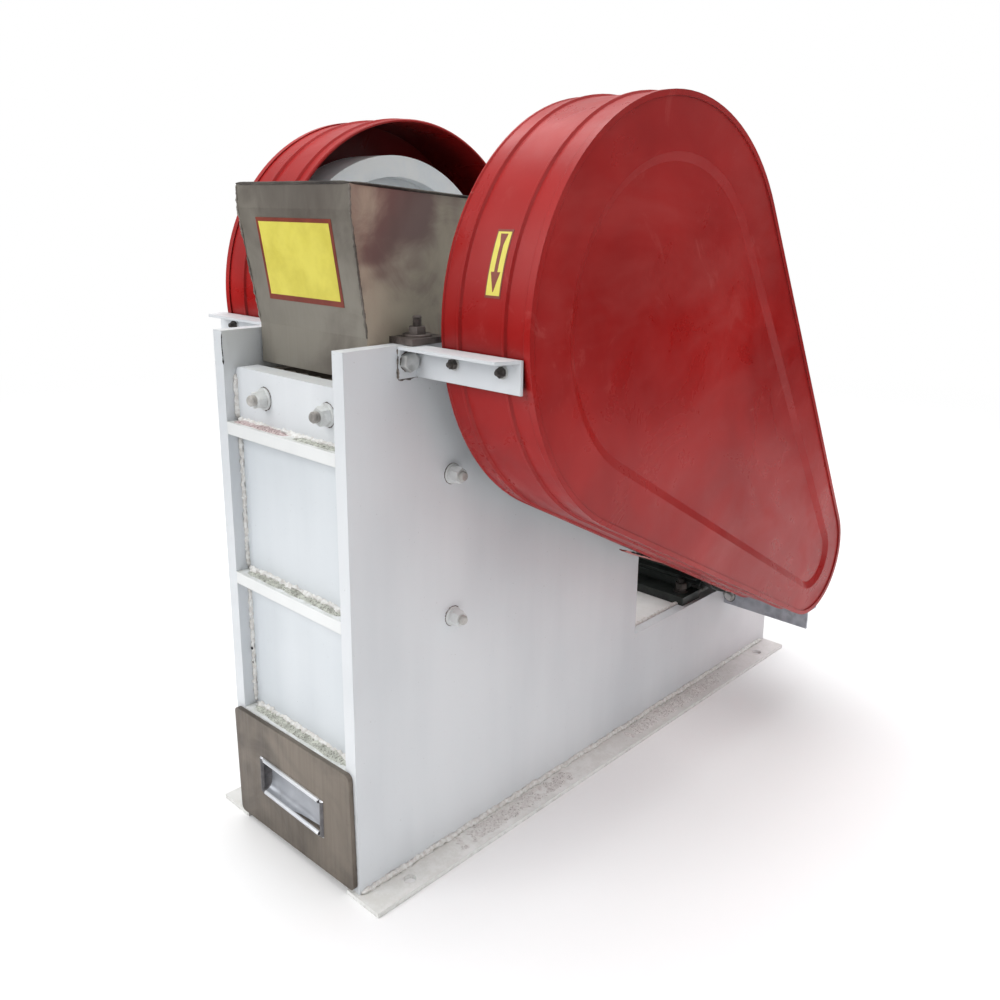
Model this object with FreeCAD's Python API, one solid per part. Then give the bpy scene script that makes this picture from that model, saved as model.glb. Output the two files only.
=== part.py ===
"""Laboratory jaw crusher: welded plate frame, stainless feed hopper and
collecting drawer, eccentric shaft with flywheel and belt pulley under sheet
guards, and a foot-mounted motor on the low rear deck.

Millimetres.  +X is the belt-guard side, -Y the drawer end, +Z up.  The origin
is the centre of the four anchor holes, on the floor.
"""
import FreeCAD
import Part
import math
import os

V = FreeCAD.Vector

# ---------------------------------------------------------------- base strips
anchor_inset_x = 33.5       # anchor hole outside the side plate's inner face
anchor_inset_y = 51.5       # anchor hole from the frame's end
anchor_hole_r = 6.5
strip_width = 50.0
strip_t = 5.0
strip_front_lead = 4.0      # strip ahead of the side plate's front edge

# ---------------------------------------------------------------- side plates
inner_width = 181.0         # between the side plates
plate_t = 16.0
frame_length = 823.0
tall_length = 461.0         # front part that carries the jaws
tall_height = 550.0         # above the strips
deck_height = 129.6         # low rear part, above the strips

# ------------------------------------------------- cross members of the frame
wall_recess = 15.0          # end walls lie this far inside the plate edges
wall_t = 14.0
rib_t = 13.0
rib_upper_drop = 106.0      # upper rib's underside below the frame's top
rib_middle_z = 285.0        # middle rib's underside above the floor
shelf_z = 126.0             # underside of the shelf over the drawer
shelf_t = 12.0
block_top_drop = 37.0       # thick block's top below the frame's top
block_t = 22.0
block_corner_r = 8.0
jaw_stud_x = (-39.0, 64.0)  # the studs sit off the frame's middle
jaw_stud_drop = 63.5        # below the frame's top
jaw_stud_r = 6.0
deck_t = 10.0
end_plate_t = 10.0
stud_clear = 0.5            # radial clearance of studs in their holes

# ----------------------------------------------------------------- jaw chamber
cheek_t = 14.0
cheek_bottom_z = 160.0
cheek_top_drop = 43.0       # cheeks and jaw end below the frame's top
cheek_length = 205.0
cheek_bolt_y = 130.0        # behind the plate's front edge
cheek_bolt_z = 268.0        # lower bolt, above the floor
cheek_bolt_drop = 134.0     # upper bolt, below the frame's top
cheek_bolt_r = 6.0
fixed_jaw_t = 25.0
fixed_jaw_bottom_z = 175.0
tooth_pitch = 21.0
tooth_depth = 6.0
jaw_side_clear = 2.0        # jaw castings to cheek plates
feed_gap = 125.0            # jaw opening at the top
discharge_gap = 22.0        # jaw opening at the bottom
backing_bar_h = 40.0
backing_bar_inset = 10.0    # lowest bar above the fixed jaw's bottom
swing_jaw_t = 45.0
swing_boss_r = 58.0
swing_side_clear = 10.0     # beam narrower than the toothed face
swing_root_t = 60.0         # beam behind the teeth at the toggle seat
swing_waist_drop = 150.0    # beam's waist below the shaft
toggle_t = 14.0
toggle_seat_depth = 10.0
toggle_end_clear = 0.5
toggle_seat_clear = 0.2
toggle_beam_size = 60.0
toggle_z = 235.0

# ----------------------------------------------------------------------- shaft
shaft_behind_front = 281.5
shaft_above_frame = 13.0    # shaft axis above the side plates' top edge
journal_r = 25.0
journal_clear = 0.05
eccentric_r = 32.0
boss_clear = 0.5
hub_seat_r = 22.5
housing_r = 50.0
housing_length = 46.0
housing_seat_clear = 0.2
housing_foot_span = 170.0
housing_foot_t = 20.0
housing_inset = 6.0         # housing stands inside the plate by this
housing_foot_margin = 8.0   # foot stops short of the housing's face
housing_hump_h = 12.0       # saddle above the feet
housing_bolt_inset = 14.0   # bolt to the foot's end
housing_bolt_r = 6.5
seat_edge_t = 12.0
sleeve_t = 8.0              # spacer between the bearing and the flywheel
journal_margin = 8.0        # journal beyond each housing
seat_height = 35.0
seat_width = 30.0
bearing_cover_r = 40.0
bearing_cover_t = 4.0

# ----------------------------------------------------- flywheel and belt pulley
wheel_r = 168.0
wheel_face_gap = 43.5       # side plate's outer face to the flywheel's rim
flywheel_width = 56.0
rim_depth = 25.0
web_t = 16.0
hub_r = 42.0
pulley_face_gap = 39.5
pulley_width = 48.0
groove_pitch = 19.0
belt_top_w = 17.0
belt_h = 11.0
belt_half_angle = 19.0
belt_sink = 0.5             # belt's top below the pulley rims
groove_clear = 0.4
shaft_tail = 4.0            # shaft beyond each wheel

# ----------------------------------------------------------------------- motor
motor_before_rear = 150.5   # motor axis ahead of the frame's rear end
motor_under_clear = 10.0    # motor body over the deck
motor_foot_pitch_x = 125.0
motor_foot_pitch_y = 140.0
motor_foot_span_y = 180.0
motor_foot_t = 12.0
motor_foot_hole_r = 5.0
motor_foot_overhang = 17.0  # foot beyond its holes
motor_foot_width = 44.0
motor_foot_web_t = 10.0
motor_foot_web_inset = 14.0
motor_shoulder_gap = 33.5   # side plate's outer face to the shaft shoulder
motor_foot_to_shoulder = 56.0
motor_shaft_r = 12.0
motor_shaft_length = 50.0
motor_body_r = 80.0
motor_fin_h = 8.0
motor_fin_t = 3.0
motor_fin_root = 3.0        # fin sunk in the body
motor_fin_pitch = 10        # degrees
motor_fin_inset = 6.0
motor_body_length = 160.0
motor_shield_t = 28.0
motor_shield_rim_t = 14.0
motor_nose_r = 40.0
motor_nose_t = 12.0
motor_rear_shield_t = 16.0
motor_cowl_length = 92.0
motor_cowl_over = 7.0       # cowl's radius beyond the body's
motor_cowl_corner_r = 14.0
motor_box = (92.0, 92.0, 48.0)
motor_box_corner_r = 6.0
motor_neck_half_w = 36.0    # neck that carries the terminal box
motor_neck_h = 6.0
motor_neck_inset = 20.0
motor_pulley_r = 48.0
motor_pulley_gap = 6.0      # shoulder to pulley

# ---------------------------------------------------------------------- guards
guard_t = 2.0
belt_guard_gap = 31.0       # side plate's outer face to the guard's open edge
belt_guard_depth = 107.0
belt_guard_behind = 18.5    # its big end behind the shaft
belt_guard_above = 3.0      # and above it
belt_guard_room = 44.6      # radial room round the pulley
belt_guard_tail_drop = 2.1  # its small end below the motor shaft
belt_guard_tail_room = 29.8
panel_inset = 53.0          # pressed panel inside the face's outline
panel_inset_tail = 34.0
panel_depth = 4.0
panel_slope = 9.0
seam_w = 6.0                # rolled seam where the face wraps the band
seam_h = 1.5
seam_face_w = 4.0
bead_w = 6.0
bead_h = 2.5
belt_guard_beads = (23.0, 78.0)      # from the open edge
flywheel_guard_beads = (18.0, 63.0)
edge_roll_w = 4.0
edge_roll_h = 1.2
flywheel_guard_gap = 26.5
flywheel_guard_depth = 100.0
flywheel_guard_behind = 13.0
flywheel_guard_above = 8.0
flywheel_guard_room = 32.0

# -------------------------------------------------------------------- brackets
angle_leg = 30.0
angle_t = 3.0
front_bracket_length = 133.0    # belt-guard side
left_bracket_length = 138.0     # flywheel side
lower_bracket_length = 122.0
front_bracket_leg = 24.0    # leg that points forward
front_bracket_trim = 10.0   # corner cut off that leg's far end
front_bracket_drop = 0.5    # bracket's top below the side plate's top edge
rear_bracket_length = 130.0
rear_bracket_leg = 27.0
rear_bracket_behind = 16.0  # behind the motor shaft
rear_bracket_gap = 10.0     # spacers lift the guard's tail off its bracket
bracket_seat = 0.2          # gap between a guard and a bracket it rests on

# ---------------------------------------------------------------------- hopper
sheet_t = 2.0
hopper_top_inset = 1.0      # inside the side plates' inner faces
hopper_neck_inset = 4.5
hopper_front_inset = 25.5   # behind the frame's front end
hopper_mouth = 190.0        # length of the open top
hopper_front_rise = 142.5   # above the frame's top
hopper_rear_rise = 128.0
hopper_lip_drop = 23.0
hopper_neck_front_inset = 43.5
hopper_neck_length = 142.0
hopper_neck_drop = 34.5     # neck reaches below the frame's top
lug_length = 42.0
lug_t = 6.0
lug_inset = 90.5            # behind the frame's front end
lug_stud_r = 5.0
lug_overhang = 12.0          # lug beyond the side plate
lug_stud_inset = 5.0         # stud inside the plate's outer face

# ---------------------------------------------------------------------- drawer
drawer_front_t = 5.0         # folded edge of the front
drawer_front_inset = 4.0    # inside the side plates' outer faces
drawer_tilt = 1.2            # degrees the front hangs lower on the left
drawer_face_clear = 0.3     # drawer front to the side plates
drawer_face_bottom = 3.0    # drawer front above the strips
drawer_face_top_drop = 0.5  # below the shelf's top
drawer_corner_r = 6.0
tray_side_clear = 8.5
tray_t = 1.5
tray_top_clear = 17.7       # below the shelf
tray_length = 300.0
runner_leg = 20.0
runner_t = 3.0
runner_clear = 0.3
runner_front_gap = 4.0
runner_extra = 40.0         # runner longer than the tray
handle_width = 114.0
handle_height = 44.0
handle_z = 71.0
handle_depth = 16.0
handle_flange = 5.0
handle_t = 1.2

# ------------------------------------------------------------- derived places
x_in = inner_width / 2
x_out = x_in + plate_t
y_front = -frame_length / 2
y_rear = frame_length / 2
y_notch = y_front + tall_length
z_top = strip_t + tall_height
z_deck = strip_t + deck_height
anchor_x = x_in + anchor_inset_x
anchor_y = frame_length / 2 - anchor_inset_y
rib_upper_z = z_top - rib_upper_drop
block_top_z = z_top - block_top_drop
cheek_top_z = z_top - cheek_top_drop
cheek_bolts_z = (cheek_bolt_z, z_top - cheek_bolt_drop)
jaw_stud_z = z_top - jaw_stud_drop
shaft_y = y_front + shaft_behind_front
shaft_z = z_top + shaft_above_frame
motor_y = y_rear - motor_before_rear
motor_z = z_deck + motor_body_r + motor_under_clear
belt_guard_y = shaft_y + belt_guard_behind
belt_guard_z = shaft_z + belt_guard_above
belt_guard_r = wheel_r + belt_guard_room
belt_guard_tail_y = motor_y
belt_guard_tail_z = motor_z - belt_guard_tail_drop
belt_guard_tail_r = motor_pulley_r + belt_guard_tail_room
flywheel_guard_y = shaft_y + flywheel_guard_behind
flywheel_guard_z = shaft_z + flywheel_guard_above
flywheel_guard_r = wheel_r + flywheel_guard_room
rear_bracket_y = motor_y + rear_bracket_behind
hopper_top_half_w = x_in - hopper_top_inset
hopper_neck_half_w = x_in - hopper_neck_inset
hopper_front_y = y_front + hopper_front_inset
hopper_front_z = z_top + hopper_front_rise
hopper_rear_y = hopper_front_y + hopper_mouth
hopper_rear_z = z_top + hopper_rear_rise
hopper_neck_front_y = y_front + hopper_neck_front_inset
hopper_neck_rear_y = hopper_neck_front_y + hopper_neck_length
hopper_neck_bottom_z = z_top - hopper_neck_drop
lug_y = y_front + lug_inset
wall_y = y_front + wall_recess
front_bracket_top_z = z_top - front_bracket_drop
hopper_crease_z = z_top + lug_t


def box(x0, x1, y0, y1, z0, z1):
    """Box between two corners."""
    return Part.makeBox(x1 - x0, y1 - y0, z1 - z0, V(x0, y0, z0))


def rod_x(x0, x1, y, z, r):
    """Cylinder along X."""
    return Part.makeCylinder(r, x1 - x0, V(x0, y, z), V(1, 0, 0))


def rod_y(y0, y1, x, z, r):
    """Cylinder along Y."""
    return Part.makeCylinder(r, y1 - y0, V(x, y0, z), V(0, 1, 0))


def rod_z(z0, z1, x, y, r):
    """Cylinder along Z."""
    return Part.makeCylinder(r, z1 - z0, V(x, y, z0), V(0, 0, 1))


def plate_yz(points, x0, x1):
    """Plate of constant thickness from an outline in the YZ plane."""
    ring = [V(x0, y, z) for y, z in points]
    wire = Part.makePolygon(ring + ring[:1])
    return Part.Face(wire).extrude(V(x1 - x0, 0, 0))


def mirror_x(shape):
    """Copy on the other side of the frame's middle plane."""
    return shape.mirror(V(0, 0, 0), V(1, 0, 0))


def both_sides(shape):
    """A piece and its mirror image, as two solids of one node."""
    return Part.makeCompound([shape, mirror_x(shape)])


def fuse(first, *rest):
    """One solid from several that touch or overlap."""
    return first.multiFuse(list(rest)).removeSplitter() if rest else first


def save(name, shape):
    shape.exportStep("parts/%s.step" % name)


# ------------------------------------------------------------ frame: the base
def base_strip():
    outer = x_in + strip_width
    strip = box(x_in, outer, y_front - strip_front_lead, y_rear, 0, strip_t)
    for y in (-anchor_y, anchor_y):
        strip = strip.cut(rod_z(-1, strip_t + 1, anchor_x, y, anchor_hole_r))
    return strip


def side_plate():
    outline = [(y_front, strip_t), (y_rear, strip_t), (y_rear, z_deck),
               (y_notch, z_deck), (y_notch, z_top), (y_front, z_top)]
    plate = plate_yz(outline, x_in, x_out)
    plate = plate.cut(rod_x(x_in - 1, x_out + 1, shaft_y, shaft_z,
                            housing_r + housing_seat_clear))
    for z in cheek_bolts_z:
        plate = plate.cut(rod_x(x_in - 1, x_out + 1, y_front + cheek_bolt_y, z,
                                cheek_bolt_r + stud_clear))
    return plate


def bearing_seats():
    """Gussets that widen the plate's top edge under the bearing feet."""
    half = housing_foot_span / 2
    out = x_out + housing_length - plate_t - housing_foot_margin
    blocks = []
    for y0, y1 in ((-half, -half + seat_width), (half - seat_width, half)):
        outline = [(x_out, z_top - seat_height), (out, z_top - seat_edge_t),
                   (out, z_top), (x_out, z_top)]
        ring = [V(x, shaft_y + y0, z) for x, z in outline]
        face = Part.Face(Part.makePolygon(ring + ring[:1]))
        block = face.extrude(V(0, y1 - y0, 0))
        blocks += [block, mirror_x(block)]
    return Part.makeCompound(blocks)


def cross_bar(y0, y1, z0, z1):
    return box(-x_in, x_in, y0, y1, z0, z1)


def front_panel():
    return cross_bar(wall_y, wall_y + wall_t, shelf_z + shelf_t, rib_upper_z)


def front_ribs():
    return Part.makeCompound([
        cross_bar(y_front, wall_y + wall_t, rib_upper_z, rib_upper_z + rib_t),
        cross_bar(y_front, wall_y, rib_middle_z, rib_middle_z + rib_t)])


def front_cross_block():
    block = cross_bar(wall_y - 2, wall_y - 2 + block_t, rib_upper_z + rib_t,
                      block_top_z)
    block = block.makeFillet(block_corner_r, [
        e for e in block.Edges
        if e.BoundBox.ZMin > block_top_z - 0.01 and e.BoundBox.YLength > 1])
    for x in jaw_stud_x:
        block = block.cut(rod_y(wall_y - 3, wall_y + block_t + 1, x, jaw_stud_z,
                                jaw_stud_r + stud_clear))
    return block


def rear_wall():
    y1 = y_notch - wall_recess
    return cross_bar(y1 - wall_t, y1, z_deck - deck_t, z_top - wall_recess)


def rear_ribs():
    y1 = y_notch - wall_recess
    return Part.makeCompound([
        cross_bar(y1, y_notch, rib_upper_z, rib_upper_z + rib_t),
        cross_bar(y1, y_notch, rib_middle_z, rib_middle_z + rib_t)])


def motor_deck():
    deck = cross_bar(y_notch - wall_recess, y_rear, z_deck - deck_t, z_deck)
    for x, y in motor_foot_holes():
        deck = deck.cut(rod_z(z_deck - deck_t - 1, z_deck + 1, x, y,
                              motor_foot_hole_r))
    return deck


def drawer_runners():
    """Two angles welded inside the plates that the tray slides on."""
    y0 = y_front + runner_front_gap
    y1 = y_front + tray_length + runner_extra
    leg = box(x_in - runner_leg, x_in, y0, y1, strip_t,
              strip_t + runner_t)
    web = box(x_in - runner_t, x_in, y0, y1, strip_t, strip_t + runner_leg)
    return both_sides(fuse(leg, web))


# ------------------------------------------------------------- jaws and shaft
fixed_jaw_y = wall_y - 2 + block_t      # back of the fixed jaw
jaw_face_y = fixed_jaw_y + fixed_jaw_t
jaw_half_w = x_in - cheek_t - jaw_side_clear


def ribbed_face(width, y_back, y_face, z0, z1):
    """Jaw plate whose face has vertical V teeth across its width."""
    count = int(2 * width / tooth_pitch)
    step = 2 * width / count
    points = [(-width, y_back), (width, y_back), (width, y_face)]
    for i in range(count):
        x = width - i * step
        points += [(x - step / 2, y_face - tooth_depth), (x - step, y_face)]
    ring = [V(x, y, z0) for x, y in points]
    face = Part.Face(Part.makePolygon(ring + ring[:1]))
    return face.extrude(V(0, 0, z1 - z0))


def fixed_jaw():
    jaw = ribbed_face(jaw_half_w, fixed_jaw_y, jaw_face_y,
                      fixed_jaw_bottom_z, cheek_top_z)
    for x in jaw_stud_x:
        jaw = jaw.cut(rod_y(fixed_jaw_y - 1, jaw_face_y + 1, x, jaw_stud_z,
                            jaw_stud_r + stud_clear))
    return jaw


def jaw_backing():
    """Packing bars between the thin front panel and the fixed jaw."""
    z0 = fixed_jaw_bottom_z + backing_bar_inset
    z2 = rib_upper_z - backing_bar_h - backing_bar_inset / 2
    return Part.makeCompound([
        cross_bar(wall_y + wall_t, fixed_jaw_y, z, z + backing_bar_h)
        for z in (z0, (z0 + z2) / 2, z2)])


def cheek_plate():
    y0 = fixed_jaw_y
    plate = box(x_in - cheek_t, x_in, y0, y0 + cheek_length, cheek_bottom_z,
                cheek_top_z)
    for z in cheek_bolts_z:
        plate = plate.cut(rod_x(x_in - cheek_t - 1, x_in + 1,
                                y_front + cheek_bolt_y, z,
                                cheek_bolt_r + stud_clear))
    return plate


def swing_jaw():
    """Moving jaw: a boss on the eccentric and a tapered toothed beam."""
    top = (jaw_face_y + feed_gap, cheek_top_z)
    low = (jaw_face_y + discharge_gap, fixed_jaw_bottom_z)
    length = math.hypot(top[0] - low[0], top[1] - low[1])
    lean = math.degrees(math.atan2(top[0] - low[0], top[1] - low[1]))
    teeth = ribbed_face(jaw_half_w, 0, swing_jaw_t, 0, length)
    teeth.rotate(V(0, 0, 0), V(0, 0, 1), 180)
    teeth.translate(V(0, swing_jaw_t, 0))
    teeth.rotate(V(0, 0, 0), V(1, 0, 0), -lean)
    teeth.translate(V(0, low[0], low[1]))
    boss = rod_x(-jaw_half_w, jaw_half_w, shaft_y, shaft_z, swing_boss_r)
    beam_half = jaw_half_w - swing_side_clear
    heel_z = fixed_jaw_bottom_z + 20
    seat_y = low[0] + swing_jaw_t + swing_root_t - toggle_seat_depth
    bridge = plate_yz([(top[0] + 8, top[1] - 10),
                       (top[0] + 8, top[1] + 22),
                       (shaft_y - 30, shaft_z + swing_boss_r - 10),
                       (shaft_y + 48, shaft_z - 20),
                       (shaft_y - 10, shaft_z - swing_waist_drop),
                       (seat_y + toggle_seat_depth, toggle_z + 40),
                       (seat_y, toggle_z - 30),
                       (low[0] + swing_jaw_t - 5, heel_z),
                       (low[0] + 25, heel_z)], -beam_half, beam_half)
    body = fuse(teeth, boss, bridge)
    body = body.cut(rod_x(-x_in, x_in, shaft_y, shaft_z,
                          eccentric_r + boss_clear))
    slot = toggle_t / 2 + toggle_seat_clear
    return body.cut(box(-x_in, x_in, seat_y - toggle_seat_depth,
                        seat_y + swing_root_t, toggle_z - slot,
                        toggle_z + slot))


toggle_front_y = (jaw_face_y + discharge_gap + swing_jaw_t + swing_root_t
                  - 2 * toggle_seat_depth + toggle_end_clear)
toggle_rear_y = shaft_y + 10    # front of the beam


def toggle_plate():
    return box(-jaw_half_w + 12, jaw_half_w - 12, toggle_front_y,
               toggle_rear_y + toggle_seat_depth - toggle_end_clear, toggle_z - toggle_t / 2,
               toggle_z + toggle_t / 2)


def toggle_beam():
    """Square beam across the frame that the toggle plate bears on."""
    half = toggle_beam_size / 2
    beam = cross_bar(toggle_rear_y, toggle_rear_y + toggle_beam_size,
                     toggle_z - half, toggle_z + half)
    slot = toggle_t / 2 + toggle_seat_clear
    return beam.cut(box(-x_in - 1, x_in + 1, toggle_rear_y - 1,
                        toggle_rear_y + toggle_seat_depth, toggle_z - slot,
                        toggle_z + slot))


housing_x0 = x_in - housing_inset


def bearing_housing():
    """Cartridge in the plate's half-round seat, with feet on its top edge."""
    x1 = housing_x0 + housing_length
    body = rod_x(housing_x0, x1, shaft_y, shaft_z, housing_r)
    half = housing_foot_span / 2
    foot_x1 = x_out + housing_length - plate_t - housing_foot_margin
    foot = box(x_in, foot_x1, shaft_y - half, shaft_y + half, z_top,
               z_top + housing_foot_t)
    hump = box(x_in, foot_x1, shaft_y - housing_r, shaft_y + housing_r, z_top,
               z_top + housing_foot_t + housing_hump_h)
    cover = rod_x(x1, x1 + bearing_cover_t, shaft_y, shaft_z, bearing_cover_r)
    solid = fuse(body, foot, hump, cover)
    solid = solid.cut(rod_x(housing_x0 - 1, x1 + bearing_cover_t + 1, shaft_y,
                            shaft_z, journal_r + journal_clear))
    for side in (-1, 1):
        solid = solid.cut(rod_z(
            z_top - 1, z_top + housing_foot_t + 1, (x_in + x_out) / 2 + 8,
            shaft_y + side * (half - housing_bolt_inset), housing_bolt_r))
    return solid


pulley_x0 = x_out + pulley_face_gap
flywheel_x1 = -(x_out + wheel_face_gap)


def eccentric_shaft():
    mid = jaw_half_w - 4
    right = pulley_x0 + pulley_width + shaft_tail
    left = flywheel_x1 - flywheel_width - shaft_tail
    reach = housing_x0 + housing_length + journal_margin
    journal = rod_x(-reach, reach, shaft_y, shaft_z, journal_r)
    middle = rod_x(-mid, mid, shaft_y, shaft_z, eccentric_r)
    ends = rod_x(left, right, shaft_y, shaft_z, hub_seat_r)
    return fuse(journal, middle, ends)


def wheel(x0, x1, r, bore):
    """Cast wheel: rim, a web recessed from both faces, and a hub."""
    body = rod_x(x0, x1, shaft_y, shaft_z, r)
    mid = (x0 + x1) / 2
    ring = rod_x(x0 - 1, mid - web_t / 2, shaft_y, shaft_z, r - rim_depth)
    ring = ring.fuse(rod_x(mid + web_t / 2, x1 + 1, shaft_y, shaft_z,
                           r - rim_depth))
    ring = ring.cut(rod_x(x0 - 2, x1 + 2, shaft_y, shaft_z, hub_r))
    return body.cut(ring).cut(rod_x(x0 - 1, x1 + 1, shaft_y, shaft_z, bore))


def flywheel():
    body = wheel(flywheel_x1 - flywheel_width, flywheel_x1, wheel_r,
                 hub_seat_r)
    reach = housing_x0 + housing_length + journal_margin + 1
    sleeve = rod_x(flywheel_x1, -reach, shaft_y, shaft_z,
                   hub_seat_r + sleeve_t)
    return fuse(body, sleeve.cut(rod_x(flywheel_x1 - 1, 0, shaft_y, shaft_z,
                                       hub_seat_r)))


def groove_x():
    mid = pulley_x0 + pulley_width / 2
    return (mid - groove_pitch / 2, mid + groove_pitch / 2)


def belt_section(x, r_top, grow):
    """Trapezoid belt profile in the X-radius plane, as (x, r) points."""
    top = belt_top_w / 2 + grow
    low = top - belt_h * math.tan(math.radians(belt_half_angle))
    return [(x - top, r_top), (x + top, r_top),
            (x + low, r_top - belt_h - grow), (x - low, r_top - belt_h - grow)]


def cut_grooves(body, y, z, r):
    """V grooves turned in a pulley about its own axis."""
    for x in groove_x():
        points = belt_section(x, r + 0.01, groove_clear)
        ring = [V(px, y, z + pr) for px, pr in points]
        face = Part.Face(Part.makePolygon(ring + ring[:1]))
        body = body.cut(face.revolve(V(x, y, z), V(1, 0, 0), 360))
    return body


def belt_pulley():
    body = wheel(pulley_x0, pulley_x0 + pulley_width, wheel_r, hub_seat_r)
    return cut_grooves(body, shaft_y, shaft_z, wheel_r)


motor_shoulder_x = x_out + motor_shoulder_gap


def motor_foot_holes():
    x1 = x_out + motor_shoulder_gap - motor_foot_to_shoulder
    return [(x, motor_y + s * motor_foot_pitch_y / 2)
            for x in (x1, x1 - motor_foot_pitch_x) for s in (-1, 1)]


def teardrop(y1, z1, r1, y2, z2, r2, x):
    """Closed outline round two circles with their outer tangents."""
    dy, dz = y2 - y1, z2 - z1
    dist = math.hypot(dy, dz)
    line = math.atan2(dz, dy)
    spread = math.acos((r1 - r2) / dist)

    def at(y, z, r, a):
        return V(x, y + r * math.cos(a), z + r * math.sin(a))

    a, b = line + spread, line - spread
    big = Part.Arc(at(y1, z1, r1, a), at(y1, z1, r1, line + math.pi),
                   at(y1, z1, r1, b)).toShape()
    small = Part.Arc(at(y2, z2, r2, b), at(y2, z2, r2, line),
                     at(y2, z2, r2, a)).toShape()
    low = Part.makeLine(at(y1, z1, r1, b), at(y2, z2, r2, b))
    high = Part.makeLine(at(y2, z2, r2, a), at(y1, z1, r1, a))
    return Part.Wire([big, low, small, high])


def v_belts():
    """Two belts, each a loop of constant trapezoid section."""
    loops = []
    for x in groove_x():
        top = belt_top_w / 2
        low = top - belt_h * math.tan(math.radians(belt_half_angle))
        outer = teardrop(shaft_y, shaft_z, wheel_r - belt_sink, motor_y,
                         motor_z, motor_pulley_r - belt_sink, 0)
        section = [(x - top, -belt_sink), (x + top, -belt_sink), (x + low, -belt_h),
                   (x - low, -belt_h)]
        start = V(0, shaft_y, shaft_z)
        first = outer.Edges[0].Vertexes[0].Point
        radial = (first - start).normalize()
        ring = [V(px, 0, 0) + start + radial * (wheel_r + pr)
                for px, pr in section]
        profile = Part.Wire(Part.makePolygon(ring + ring[:1]))
        loops.append(outer.makePipeShell([profile], True, False))
    return Part.makeCompound(loops)


# ----------------------------------------------------------------------- motor
def motor_frame():
    x1 = motor_shoulder_x - motor_shield_t
    x0 = x1 - motor_body_length
    body = rod_x(x0, x1, motor_y, motor_z, motor_body_r)
    fins = []
    for angle in range(0, 360, motor_fin_pitch):
        if 235 < angle < 305 or 65 < angle < 115:
            continue
        fin = box(x0 + motor_fin_inset, x1 - motor_fin_inset,
                  motor_y + motor_body_r - motor_fin_root,
                  motor_y + motor_body_r + motor_fin_h,
                  motor_z - motor_fin_t / 2, motor_z + motor_fin_t / 2)
        fin.rotate(V(0, motor_y, motor_z), V(1, 0, 0), angle)
        fins.append(fin)
    neck = box(x0 + motor_neck_inset, x1 - motor_neck_inset,
               motor_y - motor_neck_half_w, motor_y + motor_neck_half_w,
               motor_z + motor_body_r - 14,
               motor_z + motor_body_r + motor_neck_h)
    return fuse(body, neck, *fins)


def motor_feet():
    xs = [x for x, y in motor_foot_holes()]
    x0, x1 = min(xs) - motor_foot_overhang, max(xs) + motor_foot_overhang
    half = motor_foot_span_y / 2
    inner = half - motor_foot_width
    body = motor_frame()
    feet = []
    for s in (-1, 1):
        ya, yb = sorted((motor_y + s * half, motor_y + s * inner))
        pad = box(x0, x1, ya, yb, z_deck, z_deck + motor_foot_t)
        wa, wb = sorted((motor_y + s * inner,
                         motor_y + s * (inner + motor_foot_web_t)))
        web = box(x0 + motor_foot_web_inset, x1 - motor_foot_web_inset, wa,
                  wb, z_deck, motor_z - 30)
        foot = fuse(pad, web).cut(body)
        for x, y in motor_foot_holes():
            foot = foot.cut(rod_z(z_deck - 1, z_deck + motor_foot_t + 1, x, y,
                                  motor_foot_hole_r))
        feet.append(foot)
    return Part.makeCompound(feet)


def motor_end_shield():
    x0 = motor_shoulder_x - motor_shield_t
    rim_x1 = x0 + motor_shield_rim_t
    body = rod_x(x0, rim_x1, motor_y, motor_z, motor_body_r + 4)
    cone = Part.makeCone(motor_body_r - 4, motor_nose_r, motor_nose_t,
                         V(rim_x1, motor_y, motor_z), V(1, 0, 0))
    return fuse(body, cone).cut(rod_x(x0 - 1, motor_shoulder_x + 1, motor_y,
                                      motor_z, motor_shaft_r + 3))


def motor_rear_x():
    return motor_shoulder_x - motor_shield_t - motor_body_length


def motor_rear_shield():
    x1 = motor_rear_x()
    return rod_x(x1 - motor_rear_shield_t, x1, motor_y, motor_z,
                 motor_body_r + 2)


def motor_fan_cowl():
    x1 = motor_rear_x() - motor_rear_shield_t
    cowl = rod_x(x1 - motor_cowl_length, x1, motor_y, motor_z,
                 motor_body_r + motor_cowl_over)
    return cowl.makeFillet(motor_cowl_corner_r, [
        e for e in cowl.Edges if e.BoundBox.XLength < 0.01
        and abs(e.BoundBox.XMax - x1 + motor_cowl_length) < 0.01])


def motor_terminal_box():
    w, d, h = motor_box
    xc = motor_rear_x() + motor_body_length / 2
    z0 = motor_z + motor_body_r + motor_neck_h
    body = box(xc - w / 2, xc + w / 2, motor_y - d / 2, motor_y + d / 2, z0,
               z0 + h)
    return body.makeFillet(motor_box_corner_r, [
        e for e in body.Edges if abs(e.BoundBox.ZLength - h) < 0.01])


def motor_shaft():
    return rod_x(motor_shoulder_x - motor_shield_t, motor_shoulder_x
                 + motor_shaft_length, motor_y, motor_z, motor_shaft_r)


def motor_pulley():
    body = rod_x(pulley_x0, pulley_x0 + pulley_width, motor_y, motor_z,
                 motor_pulley_r)
    body = cut_grooves(body, motor_y, motor_z, motor_pulley_r)
    return body.cut(rod_x(pulley_x0 - 1, pulley_x0 + pulley_width + 1, motor_y,
                          motor_z, motor_shaft_r))


# ---------------------------------------------------------------------- guards
guard_x0 = x_out + belt_guard_gap
guard_x1 = guard_x0 + belt_guard_depth
fly_x0 = -(x_out + flywheel_guard_gap)
fly_x1 = fly_x0 - flywheel_guard_depth


def drop_outline(x, grow=0.0):
    """Teardrop outline of the belt guard."""
    return teardrop(belt_guard_y, belt_guard_z, belt_guard_r + grow,
                    belt_guard_tail_y, belt_guard_tail_z,
                    belt_guard_tail_r + grow, x)


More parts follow.
